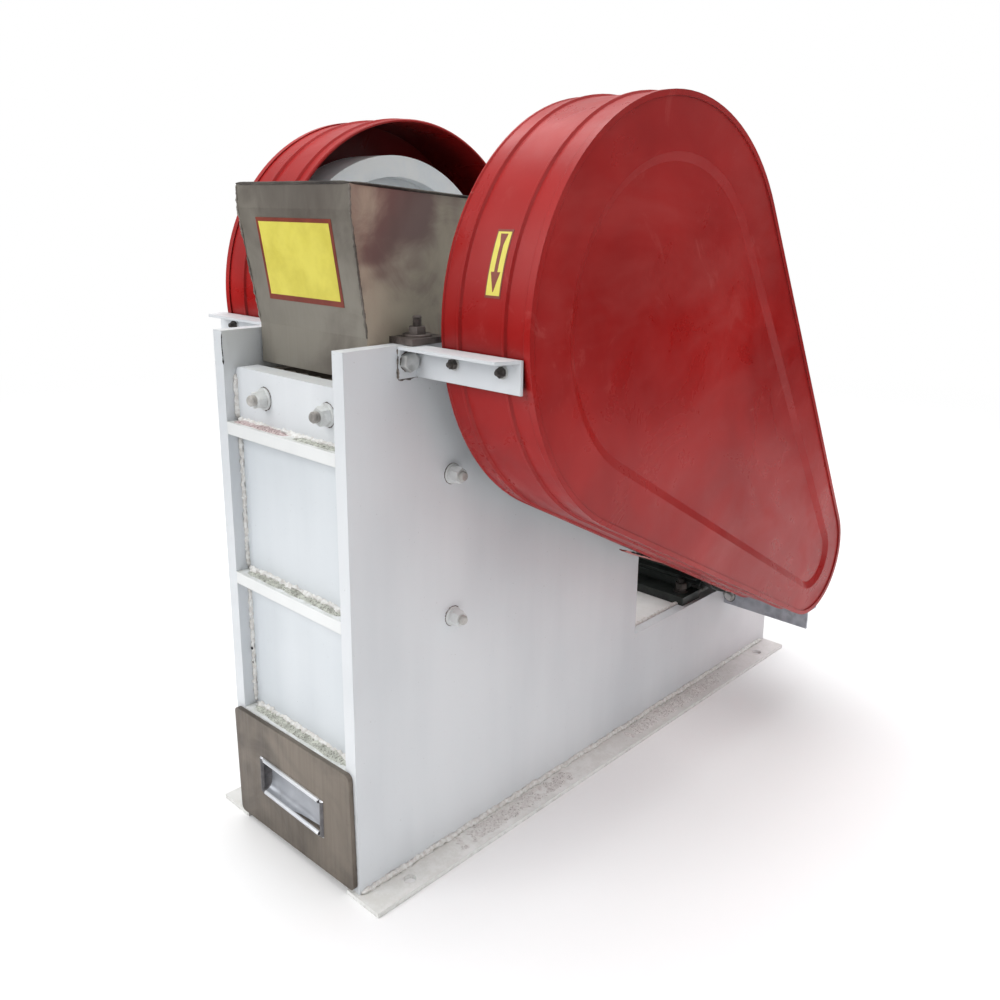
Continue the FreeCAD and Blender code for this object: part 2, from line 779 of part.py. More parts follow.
def drop_panel(x, grow=0.0):
    """Outline of the panel pressed into the belt guard's face."""
    return teardrop(belt_guard_y, belt_guard_z,
                    belt_guard_r - panel_inset + grow,
                    belt_guard_tail_y, belt_guard_tail_z,
                    belt_guard_tail_r - panel_inset_tail + grow, x)


def disc_outline(x, grow=0.0):
    """Round outline of the flywheel guard."""
    return Part.Wire(Part.makeCircle(
        flywheel_guard_r + grow, V(x, flywheel_guard_y, flywheel_guard_z),
        V(1, 0, 0)))


def disc_panel(x, grow=0.0):
    return disc_outline(x, grow - panel_inset)


def slab(outline, x0, x1, grow=0.0):
    """Prism along X over an outline."""
    return Part.Face(outline(x0, grow)).extrude(V(x1 - x0, 0, 0))


def loft(outline, stations):
    """Solid through outlines at (x, grow) stations."""
    return Part.makeLoft([outline(x, grow) for x, grow in stations],
                         True, True)


def guard_band(outline, x_open, x_face, beads):
    """Sheet band with a rolled open edge and two stiffening beads."""
    side = 1 if x_face > x_open else -1
    end = x_face - side * guard_t
    band = slab(outline, x_open, end)
    for start, width, height in (
            [(0.0, edge_roll_w, edge_roll_h)]
            + [(d - bead_w / 2, bead_w, bead_h) for d in beads]):
        x = x_open + side * start
        w = side * width
        band = band.fuse(loft(outline, [(x, -0.2), (x + 0.3 * w, height),
                                        (x + 0.7 * w, height),
                                        (x + w, -0.2)]))
    return band.cut(slab(outline, x_open - side, x_face + side, -guard_t))


def guard_face(outline, panel, x_open, x_face):
    """Face sheet with a seam round the band and a pressed-in panel."""
    side = 1 if x_face > x_open else -1
    end = x_face - side * guard_t
    face = slab(outline, x_face - side * seam_w, x_face + side * seam_h,
                seam_h)
    face = face.cut(slab(outline, x_face - side * (seam_w + 1), end))
    face = face.cut(slab(outline, x_face, x_face + side * (seam_h + 1),
                         -seam_face_w))
    dish = loft(panel, [(x_face, 0.0),
                        (x_face - side * panel_depth, -panel_slope)])
    back = dish.copy()
    back.translate(V(-side * guard_t, 0, 0))
    return face.fuse(back).cut(dish)


# -------------------------------------------------------------------- brackets
def band_front(y, z, r, height):
    """Front of a round guard's beads at a given height."""
    return y - math.sqrt(r * r - (height - z) ** 2)


def front_bracket(flange_y, length):
    """Angle with its legs down and forward, and its end on the side plate."""
    top = front_bracket_top_z
    down = box(x_out, x_out + length, flange_y - angle_t, flange_y,
               top - angle_leg, top)
    nose = flange_y - front_bracket_leg
    end = x_out + length
    ring = [V(x, y, top - angle_t) for x, y in
            ((x_out, flange_y), (x_out, nose),
             (end - front_bracket_trim, nose), (end, flange_y))]
    ahead = Part.Face(Part.makePolygon(ring + ring[:1])).extrude(
        V(0, 0, angle_t))
    tab = box(x_out, x_out + angle_t, nose, flange_y, top - angle_leg, top)
    return fuse(down, ahead, tab)


def guard_bracket_front_right():
    flange = band_front(belt_guard_y, belt_guard_z, belt_guard_r + bead_h,
                        front_bracket_top_z) - bracket_seat
    return front_bracket(flange, front_bracket_length)


def guard_bracket_front_left():
    flange = band_front(flywheel_guard_y, flywheel_guard_z,
                        flywheel_guard_r + bead_h,
                        front_bracket_top_z) - bracket_seat
    return mirror_x(front_bracket(flange, left_bracket_length))


def under_bracket(y, top, length, leg):
    """Angle under a guard, its vertical leg to the front."""
    upright = box(x_out, x_out + length, y, y + angle_t, top - leg, top)
    flat = box(x_out, x_out + length, y, y + leg, top - angle_t, top)
    return fuse(upright, flat)


def guard_bracket_rear_right():
    drop = math.sqrt(belt_guard_tail_r ** 2
                     - (rear_bracket_y - belt_guard_tail_y) ** 2)
    top = belt_guard_tail_z - drop - rear_bracket_gap
    return under_bracket(rear_bracket_y, top, rear_bracket_length,
                         rear_bracket_leg)


def guard_bracket_lower_left():
    top = (flywheel_guard_z - flywheel_guard_r - bead_h
           - bracket_seat)
    return mirror_x(under_bracket(flywheel_guard_y - angle_leg / 2, top,
                                  lower_bracket_length, angle_leg))


# ---------------------------------------------------------------------- hopper
def hopper_loft(inset):
    """Solid inside of the hopper, drawn in from its outside by inset."""
    def ring(y0, z0, y1, z1, half):
        pts = [V(-half + inset, y0 + inset, z0), V(half - inset, y0 + inset, z0),
               V(half - inset, y1 - inset, z1), V(-half + inset, y1 - inset, z1)]
        return Part.makePolygon(pts + pts[:1])
    over = 1.0 if inset else 0.0
    top = ring(hopper_front_y, hopper_front_z + over, hopper_rear_y,
               hopper_rear_z + over, hopper_top_half_w)
    lip = ring(hopper_front_y, hopper_front_z - hopper_lip_drop,
               hopper_rear_y, hopper_rear_z - hopper_lip_drop,
               hopper_top_half_w)
    crease = ring(hopper_neck_front_y, hopper_crease_z, hopper_neck_rear_y,
                  hopper_crease_z, hopper_neck_half_w)
    neck = ring(hopper_neck_front_y, hopper_neck_bottom_z - over,
                hopper_neck_rear_y, hopper_neck_bottom_z - over,
                hopper_neck_half_w)
    return fuse(*[Part.makeLoft([a, b], True, True)
                  for a, b in ((top, lip), (lip, crease), (crease, neck))])


def hopper():
    return hopper_loft(0).cut(hopper_loft(sheet_t))


def hopper_lugs():
    lug = box(hopper_neck_half_w, x_out + lug_overhang, lug_y - lug_length / 2,
              lug_y + lug_length / 2, z_top, z_top + lug_t)
    lug = lug.cut(rod_z(z_top - 1, z_top + lug_t + 1, x_out - lug_stud_inset,
                        lug_y, lug_stud_r + stud_clear))
    return both_sides(lug)


# ---------------------------------------------------------------------- drawer
drawer_face_y1 = y_front - drawer_face_clear
drawer_face_y0 = drawer_face_y1 - drawer_front_t
tray_half_w = x_in - tray_side_clear
tray_z0 = strip_t + runner_t + runner_clear
tray_z1 = shelf_z - tray_top_clear
drawer_front_half_w = x_out - drawer_front_inset
drawer_face_top_z = shelf_z + shelf_t - drawer_face_top_drop


def tilted(shape):
    """Turned in the drawer front's plane, about its middle."""
    shape.rotate(V(0, 0, handle_z), V(0, 1, 0), -drawer_tilt)
    return shape


def drawer_front():
    z0 = strip_t + drawer_face_bottom
    face = box(-drawer_front_half_w, drawer_front_half_w, drawer_face_y0,
               drawer_face_y1, z0, drawer_face_top_z)
    face = face.makeFillet(drawer_corner_r,
                           [e for e in face.Edges
                            if abs(e.BoundBox.YLength - drawer_front_t) < 0.01])
    return tilted(face.cut(box(
        -handle_width / 2 + handle_flange, handle_width / 2 - handle_flange,
        drawer_face_y0 - 1, drawer_face_y1 + 1,
        handle_z - handle_height / 2 + handle_flange,
        handle_z + handle_height / 2 - handle_flange)))


def drawer_handle():
    """Flush pull: a flanged cup set into the drawer front."""
    w, h, f = handle_width / 2, handle_height / 2, handle_flange
    flange = box(-w, w, drawer_face_y0 - handle_t, drawer_face_y0,
                 handle_z - h, handle_z + h)
    cup = box(-w + f, w - f, drawer_face_y0, drawer_face_y0 + handle_depth,
              handle_z - h + f, handle_z + h - f)
    hollow = box(-w + f + handle_t, w - f - handle_t,
                 drawer_face_y0 - 2 * handle_t,
                 drawer_face_y0 + handle_depth - handle_t,
                 handle_z - h + f + handle_t, handle_z + h - f - handle_t)
    return tilted(fuse(flange, cup).cut(hollow))


def drawer_tray():
    """Open-topped box behind the drawer front."""
    y1 = drawer_face_y1 + tray_length
    outer = box(-tray_half_w, tray_half_w, drawer_face_y1, y1, tray_z0,
                tray_z1)
    return outer.cut(box(-tray_half_w + tray_t, tray_half_w - tray_t,
                         drawer_face_y1 - 1, y1 - tray_t, tray_z0 + tray_t,
                         tray_z1 + 1))


pieces = {
    "base_strips": both_sides(base_strip()),
    "side_plate_right": side_plate(),
    "side_plate_left": mirror_x(side_plate()),
    "bearing_seats": bearing_seats(),
    "front_panel": front_panel(),
    "front_cross_block": front_cross_block(),
    "front_ribs": front_ribs(),
    "drawer_shelf": cross_bar(y_front, wall_y + wall_t, shelf_z,
                              shelf_z + shelf_t),
    "rear_wall": rear_wall(),
    "rear_ribs": rear_ribs(),
    "motor_deck": motor_deck(),
    "deck_end_plate": cross_bar(y_rear - wall_recess - end_plate_t,
                                y_rear - wall_recess, strip_t,
                                z_deck - deck_t),
    "drawer_runners": drawer_runners(),
    "jaw_backing": jaw_backing(),
    "fixed_jaw": fixed_jaw(),
    "cheek_plates": both_sides(cheek_plate()),
    "swing_jaw": swing_jaw(),
    "toggle_plate": toggle_plate(),
    "toggle_beam": toggle_beam(),
    "bearing_housing_right": bearing_housing(),
    "bearing_housing_left": mirror_x(bearing_housing()),
    "eccentric_shaft": eccentric_shaft(),
    "flywheel": flywheel(),
    "belt_pulley": belt_pulley(),
    "v_belts": v_belts(),
    "motor_frame": motor_frame(),
    "motor_feet": motor_feet(),
    "motor_end_shields": Part.makeCompound([motor_end_shield(),
                                            motor_rear_shield()]),
    "motor_fan_cowl": motor_fan_cowl(),
    "motor_terminal_box": motor_terminal_box(),
    "motor_shaft": motor_shaft(),
    "motor_pulley": motor_pulley(),
    "belt_guard_band": guard_band(drop_outline, guard_x0, guard_x1,
                                  belt_guard_beads),
    "belt_guard_face": guard_face(drop_outline, drop_panel, guard_x0,
                                  guard_x1),
    "flywheel_guard_band": guard_band(disc_outline, fly_x0, fly_x1,
                                      flywheel_guard_beads),
    "flywheel_guard_face": guard_face(disc_outline, disc_panel, fly_x0,
                                      fly_x1),
    "guard_bracket_front_right": guard_bracket_front_right(),
    "guard_bracket_front_left": guard_bracket_front_left(),
    "guard_bracket_rear_right": guard_bracket_rear_right(),
    "guard_bracket_lower_left": guard_bracket_lower_left(),
    "hopper": hopper(),
    "hopper_lugs": hopper_lugs(),
    "drawer_front": drawer_front(),
    "drawer_handle": drawer_handle(),
    "drawer_tray": drawer_tray(),
}

os.makedirs("parts", exist_ok=True)
for node, piece in pieces.items():
    save(node, piece)
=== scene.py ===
"""Looks of a laboratory jaw crusher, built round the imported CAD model.

Row frame, metres: +X is the belt-guard side, -Y the drawer end, +Z up.
Pieces are written in millimetres and turned into metres as each mesh is
finished. Materials, floor, lamps and camera are written in metres.
"""

import math
import random

import bmesh
import bpy
from mathutils import Matrix, Vector, noise


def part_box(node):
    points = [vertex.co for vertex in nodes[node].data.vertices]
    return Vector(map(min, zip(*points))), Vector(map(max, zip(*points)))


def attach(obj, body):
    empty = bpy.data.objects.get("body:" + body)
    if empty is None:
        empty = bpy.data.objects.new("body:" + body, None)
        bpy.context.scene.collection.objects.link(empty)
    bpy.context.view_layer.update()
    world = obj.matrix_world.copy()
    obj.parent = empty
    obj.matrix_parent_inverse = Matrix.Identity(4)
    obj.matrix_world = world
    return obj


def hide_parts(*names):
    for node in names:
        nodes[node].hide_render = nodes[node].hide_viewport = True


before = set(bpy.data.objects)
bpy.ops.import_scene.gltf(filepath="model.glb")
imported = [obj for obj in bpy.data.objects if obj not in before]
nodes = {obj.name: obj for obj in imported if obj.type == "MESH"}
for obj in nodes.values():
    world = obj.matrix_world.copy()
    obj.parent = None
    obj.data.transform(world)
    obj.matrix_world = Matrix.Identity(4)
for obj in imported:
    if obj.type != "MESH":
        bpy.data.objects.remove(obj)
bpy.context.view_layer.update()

MM = 0.001
SMOOTH_ANGLE = math.radians(35)


# ------------------------------------------------------------------- materials
def srgb(r, g, b):
    """Linear colour from 0-255 sRGB values."""
    def lin(v):
        v /= 255
        return v / 12.92 if v <= 0.04045 else ((v + 0.055) / 1.055) ** 2.4
    return (lin(r), lin(g), lin(b), 1.0)


class Shader:
    """Terse maker of one procedural material's node tree."""

    def __init__(self, name, **sockets):
        self.mat = bpy.data.materials.new(name)
        self.mat.use_nodes = True
        self.tree = self.mat.node_tree
        self.tree.nodes.clear()
        out = self.add("ShaderNodeOutputMaterial")
        self.bsdf = self.add("ShaderNodeBsdfPrincipled")
        self.tree.links.new(self.bsdf.outputs[0], out.inputs["Surface"])
        self.coord = self.add("ShaderNodeTexCoord").outputs["Object"]
        for key, value in sockets.items():
            self.set(key.replace("_", " "), value)

    def add(self, kind, **props):
        node = self.tree.nodes.new(kind)
        for key, value in props.items():
            setattr(node, key, value)
        return node

    def put(self, socket, value):
        if isinstance(value, bpy.types.NodeSocket):
            self.tree.links.new(value, socket)
        else:
            socket.default_value = value

    def set(self, key, value):
        self.put(self.bsdf.inputs[key], value)

    def stretch(self, sx, sy, sz):
        """Object coordinates scaled unevenly, for streaks."""
        node = self.add("ShaderNodeMapping")
        self.tree.links.new(self.coord, node.inputs["Vector"])
        node.inputs["Scale"].default_value = (sx, sy, sz)
        return node.outputs["Vector"]

    def noise(self, scale, detail=3.0, rough=0.55, distort=0.0, vector=None):
        node = self.add("ShaderNodeTexNoise")
        self.tree.links.new(vector or self.coord, node.inputs["Vector"])
        node.inputs["Scale"].default_value = scale
        node.inputs["Detail"].default_value = detail
        node.inputs["Roughness"].default_value = rough
        node.inputs["Distortion"].default_value = distort
        return node.outputs["Fac"]

    def voronoi(self, scale):
        node = self.add("ShaderNodeTexVoronoi")
        self.tree.links.new(self.coord, node.inputs["Vector"])
        node.inputs["Scale"].default_value = scale
        return node.outputs["Distance"]

    def span(self, value, low, high, to_low=0.0, to_high=1.0):
        """Clamped smooth remap."""
        node = self.add("ShaderNodeMapRange", interpolation_type="SMOOTHSTEP")
        self.put(node.inputs["Value"], value)
        for key, number in (("From Min", low), ("From Max", high),
                            ("To Min", to_low), ("To Max", to_high)):
            node.inputs[key].default_value = number
        return node.outputs["Result"]

    def calc(self, operation, a, b):
        node = self.add("ShaderNodeMath", operation=operation)
        self.put(node.inputs[0], a)
        self.put(node.inputs[1], b)
        return node.outputs[0]

    def times(self, a, b):
        return self.calc("MULTIPLY", a, b)

    def blend(self, a, share_a, b, share_b):
        """Weighted sum of two values."""
        return self.calc("ADD", self.times(a, share_a), self.times(b, share_b))

    def mix(self, fac, a, b):
        node = self.add("ShaderNodeMix", data_type="RGBA")
        self.put(node.inputs["Factor"], fac)
        self.put(node.inputs["A"], a)
        self.put(node.inputs["B"], b)
        return node.outputs["Result"]

    def tint(self, colour, mask, amount, tone):
        """Lays a tone over the colour where the mask is 1."""
        return self.mix(self.times(mask, amount), colour, tone)

    def roughen(self, scale, detail, low, high):
        """Roughness that wanders between two values."""
        self.set("Roughness", self.span(self.noise(scale, detail), 0.3, 0.7,
                                        low, high))

    def part(self, axis, source="Position"):
        """One component of the position or the true normal."""
        if source == "Position":
            vector = self.coord
        else:
            vector = self.add("ShaderNodeNewGeometry").outputs[source]
        node = self.add("ShaderNodeSeparateXYZ")
        self.tree.links.new(vector, node.inputs[0])
        return node.outputs[axis]

    def cavity(self, distance):
        """1 in the open, falling towards 0 in corners."""
        node = self.add("ShaderNodeAmbientOcclusion", samples=6)
        node.inputs["Distance"].default_value = distance
        return node.outputs["AO"]

    def bump(self, height, distance, strength=1.0, edge=0.0):
        """Bump, over softened edges if a radius is given."""
        node = self.add("ShaderNodeBump")
        node.inputs["Strength"].default_value = strength
        node.inputs["Distance"].default_value = distance
        self.tree.links.new(height, node.inputs["Height"])
        if edge:
            soft = self.add("ShaderNodeBevel", samples=4)
            soft.inputs["Radius"].default_value = edge
            self.tree.links.new(soft.outputs[0], node.inputs["Normal"])
        self.tree.links.new(node.outputs[0], self.bsdf.inputs["Normal"])


def body_paint(name, clean, shade, dust_amount, dirt_and_shade_amount,
               film_tone=(188, 189, 180)):
    """Brushed light paint over plate steel, with settled dust, dirt and painted
    shade in the corners, and painted pink light low at the rear.
    """
    s = Shader(name, Specular_IOR_Level=0.4)
    broad = s.noise(2.6, 2.0)
    streak = s.noise(9.0, 4.0, vector=s.stretch(1.0, 1.0, 0.12))
    tone = s.span(s.blend(broad, 0.6, streak, 0.4), 0.35, 0.65)
    colour = s.mix(tone, shade, clean)
    # painted light: the plates' lower rear part is tinted pink by position
    painted_pink_light = s.times(s.span(s.part("Y"), 0.12, 0.34),
                    s.span(s.part("Z"), 0.2, 0.05))
    colour = s.tint(colour, painted_pink_light, 0.5, srgb(214, 203, 206))
    speck = s.span(s.noise(420.0, 2.0, 0.7), 0.735, 0.76)
    colour = s.tint(colour, speck, 0.55, srgb(112, 104, 96))
    # dirt and painted shade: the occlusion mask darkens the paint in corners
    # where the noise lets it
    nook = s.span(s.cavity(0.012), 0.75, 0.2)
    dirt_and_corner_shade = s.times(nook, s.span(s.noise(130.0, 5.0, 0.7), 0.46, 0.6))
    colour = s.tint(colour, dirt_and_corner_shade, dirt_and_shade_amount, srgb(118, 108, 98))
    up = s.span(s.part("Z", "Normal"), 0.55, 0.9)
    film = s.times(up, s.span(s.noise(60.0, 6.0, 0.75), 0.4, 0.62))
    colour = s.tint(colour, film, dust_amount, srgb(*film_tone))
    s.set("Base Color", colour)
    s.roughen(34.0, 4.0, 0.36, 0.6)
    grain = s.blend(s.noise(640.0, 2.0), 0.25,
                    s.noise(90.0, 3.0, vector=s.stretch(1.0, 1.0, 0.2)), 0.75)
    s.bump(grain, 0.0005, 0.35, edge=0.0011)
    return s.mat


def brushed_steel(name, light, dark, rough, along, metallic=1.0,
                  side_painted_tones=None):
    """Brushed stainless sheet; along says which way the brush lines run; the
    last argument gives the sheets that face +X their own painted light and
    shade tones."""
    s = Shader(name, Metallic=metallic)
    lines = s.noise(26.0, 5.0, 0.65, vector=s.stretch(*along))
    cloud = s.noise(7.0, 3.0, 0.6, 0.6)
    smear = s.noise(16.0, 5.0, 0.65, 1.2)
    tone = s.blend(cloud, 0.75, smear, 0.25)
    colour = s.mix(s.span(tone, 0.36, 0.64), dark, light)
    spots = s.span(s.noise(55.0, 6.0, 0.8), 0.62, 0.7)
    colour = s.tint(colour, spots, 0.35, srgb(92, 84, 76))
    # painted light and shade: sheets facing +X take their own tones, chosen by
    # the normal
    if side_painted_tones:
        sideways = s.span(s.part("X", "Normal"), 0.6, 0.95)
        side_painted_shade, side_painted_light = (srgb(*levels) for levels in side_painted_tones)
        colour = s.mix(sideways, colour,
                       s.mix(s.span(tone, 0.38, 0.6), side_painted_shade, side_painted_light))
    s.set("Base Color", colour)
    s.set("Roughness", s.calc(
        "ADD", s.times(s.span(lines, 0.3, 0.7), 0.14),
        s.span(cloud, 0.3, 0.7, rough - 0.06, rough + 0.06)))
    s.bump(lines, 0.00006, 0.6, edge=0.0008)
    return s.mat


def red_enamel(name, deep=srgb(150, 16, 15), bright=srgb(172, 30, 28)):
    """Glossy red paint on wavy sheet, a little scuffed, with painted
    reflections and painted shade in its recesses.
    """
    s = Shader(name, Specular_IOR_Level=0.3)
    broad = s.noise(5.0, 3.0, 0.55, 0.5)
    colour = s.mix(s.span(broad, 0.3, 0.7), deep, bright)
    # scuffs and painted reflection: lighter pink patches from noise
    scuff_and_painted_reflection = s.times(s.span(s.noise(17.0, 6.0, 0.72, 1.6), 0.57, 0.68),
                    s.span(s.noise(4.0, 2.0), 0.42, 0.6))
    colour = s.tint(colour, scuff_and_painted_reflection, 0.3, srgb(186, 84, 80))
    # painted reflection: lighter patches on the sheets facing +X, chosen by the
    # normal
    drift = s.noise(6.0, 5.0, 0.62, 0.4, vector=s.stretch(1.0, 0.6, 1.5))
    painted_reflection_patches = s.times(s.span(drift, 0.46, 0.7),
                   s.span(s.part("X", "Normal"), 0.7, 0.95))
    colour = s.tint(colour, painted_reflection_patches, 0.2, srgb(178, 92, 88))
    # scratch streaks and painted reflection streaks, stretched along Y
    scratch_and_reflection_streaks = s.noise(60.0, 3.0, 0.6, 0.4, vector=s.stretch(1.0, 0.12, 1.0))
    colour = s.tint(colour, s.span(scratch_and_reflection_streaks, 0.7, 0.74), 0.25,
                    srgb(196, 120, 114))
    shadow = s.span(s.cavity(0.16), 0.62, 0.2)
    colour = s.tint(colour, shadow, 0.8, srgb(42, 4, 4))
    s.set("Base Color", colour)
    s.set("Roughness", s.span(s.noise(11.0, 5.0, 0.65, 0.8), 0.3, 0.7, 0.24,
                              0.44))
    waves = s.blend(s.noise(9.0, 2.0, 0.5), 0.85,
                    s.noise(330.0, 2.0, 0.5), 0.02)
    s.bump(waves, 0.006, 0.32, edge=0.0009)
    return s.mat


def cast_metal(name, light, dark, rough_low, rough_high, grain=0.0006,
               metallic=0.0, scale=150.0):
    """Cast, painted or greasy metal with a pebbled surface."""
    s = Shader(name, Metallic=metallic)
    tone = s.span(s.noise(22.0, 5.0, 0.65, 0.4), 0.32, 0.68)
    colour = s.mix(tone, dark, light)
    worn = s.span(s.noise(95.0, 6.0, 0.75), 0.58, 0.7)
    rubbed = tuple(min(1.0, 1.7 * c) for c in light[:3]) + (1.0,)
    s.set("Base Color", s.tint(colour, worn, 0.3, rubbed))
    s.roughen(48.0, 4.0, rough_low, rough_high)
    s.bump(s.noise(scale, 4.0, 0.6), grain, 0.5, edge=0.0006)
    return s.mat


def zinc(name, light, dark):
    """Zinc-coated steel, mottled and a little dirty."""
    s = Shader(name, Metallic=0.75)
    colour = s.mix(s.span(s.voronoi(90.0), 0.1, 0.8), dark, light)
    soil = s.span(s.noise(46.0, 5.0, 0.7), 0.54, 0.7)
    s.set("Base Color", s.tint(colour, soil, 0.35, srgb(104, 101, 100)))
    s.roughen(80.0, 4.0, 0.34, 0.58)
    s.bump(s.noise(300.0, 3.0), 0.0002, 0.4, edge=0.0006)
    return s.mat


def rubber(name):
    s = Shader(name, Specular_IOR_Level=0.35)
    s.set("Base Color", s.mix(s.span(s.noise(120.0, 5.0, 0.7), 0.4, 0.65),
                              srgb(24, 24, 25), srgb(52, 50, 48)))
    s.roughen(60.0, 3.0, 0.6, 0.82)
    s.bump(s.noise(500.0, 2.0), 0.0002, 0.5)
    return s.mat


def grit(name, light, dark, fleck):
    """Crushed-rock dust lying thick on a ledge."""
    s = Shader(name, Specular_IOR_Level=0.2)
    colour = s.mix(s.span(s.noise(160.0, 6.0, 0.75), 0.36, 0.64), dark, light)
    flecks = s.span(s.noise(520.0, 3.0, 0.7), 0.56, 0.62)
    s.set("Base Color", s.mix(flecks, colour, fleck))
    s.roughen(90.0, 3.0, 0.75, 0.95)
    s.bump(s.noise(460.0, 4.0, 0.7), 0.0016, 0.8)
    return s.mat


def weld_paint(name, light, dark):
    """Weld bead brushed over with thin paint, darker in its ripples: dirt and
    painted shade.
    """
    s = Shader(name, Specular_IOR_Level=0.4)
    colour = s.mix(s.span(s.noise(210.0, 5.0, 0.7), 0.42, 0.6), dark, light)
    # dirt and painted shade: the occlusion mask darkens the ripples
    ripple_dirt_and_shade = s.span(s.cavity(0.004), 0.7, 0.25)
    s.set("Base Color", s.tint(colour, ripple_dirt_and_shade, 0.4, srgb(126, 120, 113)))
    s.roughen(130.0, 3.0, 0.4, 0.7)
    s.bump(s.noise(420.0, 3.0), 0.0006, 0.5)
    return s.mat


def print_film(name, light, dark):
    """Printed adhesive film."""
    s = Shader(name, Specular_IOR_Level=0.5)
    s.set("Base Color", s.mix(s.span(s.noise(24.0, 4.0, 0.6), 0.3, 0.7), dark,
                              light))
    s.roughen(60.0, 3.0, 0.32, 0.5)
    s.bump(s.noise(120.0, 3.0), 0.0002, 0.35)
    return s.mat


white_paint = body_paint("frame_paint", srgb(226, 229, 232),
                         srgb(208, 212, 216), 0.12, 0.45)
panel_paint = body_paint("panel_paint", srgb(216, 221, 225),
                         srgb(196, 202, 207), 0.12, 0.5)
ledge_paint = body_paint("ledge_paint", srgb(234, 236, 236),
                         srgb(218, 220, 220), 0.6, 0.7)
strip_paint = body_paint("strip_paint", srgb(240, 240, 238),
                         srgb(218, 218, 215), 0.32, 0.7, (196, 194, 186))
# painted light: the deck's white paint is set lighter than the frame's
deck_paint_painted_light = body_paint("deck_paint_painted_light", srgb(244, 242, 240),
                        srgb(228, 226, 225), 0.1, 0.6)
# the last pair is painted light and shade for the hopper's sheets that face +X
hopper_steel = brushed_steel("hopper_steel", srgb(142, 137, 127),
                             srgb(104, 97, 90), 0.34, (9.0, 9.0, 0.2), 0.3,
                             ((126, 104, 100), (186, 176, 158)))
hopper_hem = cast_metal("hopper_hem", srgb(150, 144, 136),
                        srgb(84, 78, 72), 0.35, 0.6, 0.0003, 0.5)
drawer_steel = brushed_steel("drawer_steel", srgb(130, 121, 111),
                             srgb(82, 76, 70), 0.36, (9.0, 1.0, 0.25), 0.8)
handle_steel = brushed_steel("handle_steel", srgb(182, 185, 191),
                             srgb(132, 136, 143), 0.3, (0.3, 6.0, 6.0), 0.45)
red = red_enamel("guard_red")
# painted light: the wheels' white paint is set to full brightness
wheel_white_painted_light = cast_metal("wheel_paint", srgb(252, 255, 255),
                         srgb(242, 248, 252), 0.32, 0.5, 0.0003)
housing_paint = cast_metal("housing_paint", srgb(214, 216, 216),
                           srgb(178, 181, 182), 0.4, 0.6)
jaw_steel = cast_metal("jaw_steel", srgb(120, 112, 102), srgb(74, 68, 62),
                       0.5, 0.75, 0.0012, 0.55, 90.0)
shaft_steel = cast_metal("shaft_steel", srgb(172, 170, 166),
                         srgb(126, 122, 116), 0.25, 0.42, 0.0001, 1.0)
motor_paint = cast_metal("motor_paint", srgb(52, 58, 54), srgb(26, 30, 28),
                         0.4, 0.62, 0.0005)
pulley_iron = cast_metal("pulley_iron", srgb(104, 106, 106),
                         srgb(66, 68, 68), 0.4, 0.6, 0.0004, 0.6)
greasy = cast_metal("greasy_steel", srgb(122, 112, 108), srgb(46, 40, 38),
                    0.28, 0.6, 0.0014, 0.3, 210.0)
galvanised = zinc("galvanised", srgb(186, 190, 197), srgb(158, 162, 170))
bolt_zinc = zinc("bolt_zinc", srgb(206, 206, 204), srgb(160, 160, 158))
bolt_paint = cast_metal("bolt_paint", srgb(226, 228, 228),
                        srgb(192, 194, 193), 0.34, 0.58, 0.0004, 0.0, 320.0)
bolt_dark = cast_metal("bolt_dark", srgb(96, 90, 86), srgb(48, 44, 42), 0.35,
                       0.6, 0.0006, 0.6, 300.0)
belt_rubber = rubber("belt_rubber")
ledge_grit = grit("ledge_grit", srgb(214, 216, 206), srgb(164, 165, 156),
                  srgb(104, 100, 94))
pink_grit = grit("pink_grit", srgb(222, 206, 206), srgb(178, 158, 156),
                 srgb(118, 100, 98))
pale_grit = grit("pale_grit", srgb(238, 237, 234), srgb(218, 214, 212),
                 srgb(168, 162, 158))
weld_white = weld_paint("weld_paint", srgb(236, 236, 234),
                        srgb(216, 213, 209))
weld_bare = weld_paint("weld_bare", srgb(124, 114, 106), srgb(52, 46, 42))
film_yellow = print_film("film_yellow", srgb(228, 217, 96),
                         srgb(210, 198, 78))
film_red = print_film("film_red", srgb(134, 60, 44), srgb(112, 44, 34))
red_pale = red_enamel("guard_red_pale", srgb(168, 58, 52),
                      srgb(190, 96, 88))
stud_steel = cast_metal("stud_steel", srgb(206, 204, 200),
                        srgb(124, 120, 116), 0.35, 0.6, 0.0004, 0.2, 300.0)
# painted highlight: a brighter copy of the handle steel for the pull's lips
pull_lip_painted_highlight = brushed_steel("pull_lip_painted_highlight", srgb(226, 228, 232),
                          srgb(196, 199, 205), 0.26, (0.3, 5.0, 5.0), 0.6)
# painted shade: a dark copy for the pull's end caps
pull_end_painted_shade = cast_metal("pull_end_painted_shade", srgb(112, 110, 112),
                          srgb(70, 68, 70), 0.35, 0.55, 0.0002, 0.5)
# painted shade: dark colour for the rim bead along the hopper's top edge
hopper_rim_painted_shade = cast_metal("hopper_rim_painted_shade", srgb(84, 78, 72), srgb(44, 40, 38),
                         0.35, 0.6, 0.0003, 0.5)
black_gap = cast_metal("black_gap", srgb(26, 24, 23), srgb(12, 11, 11), 0.6,
                       0.85)

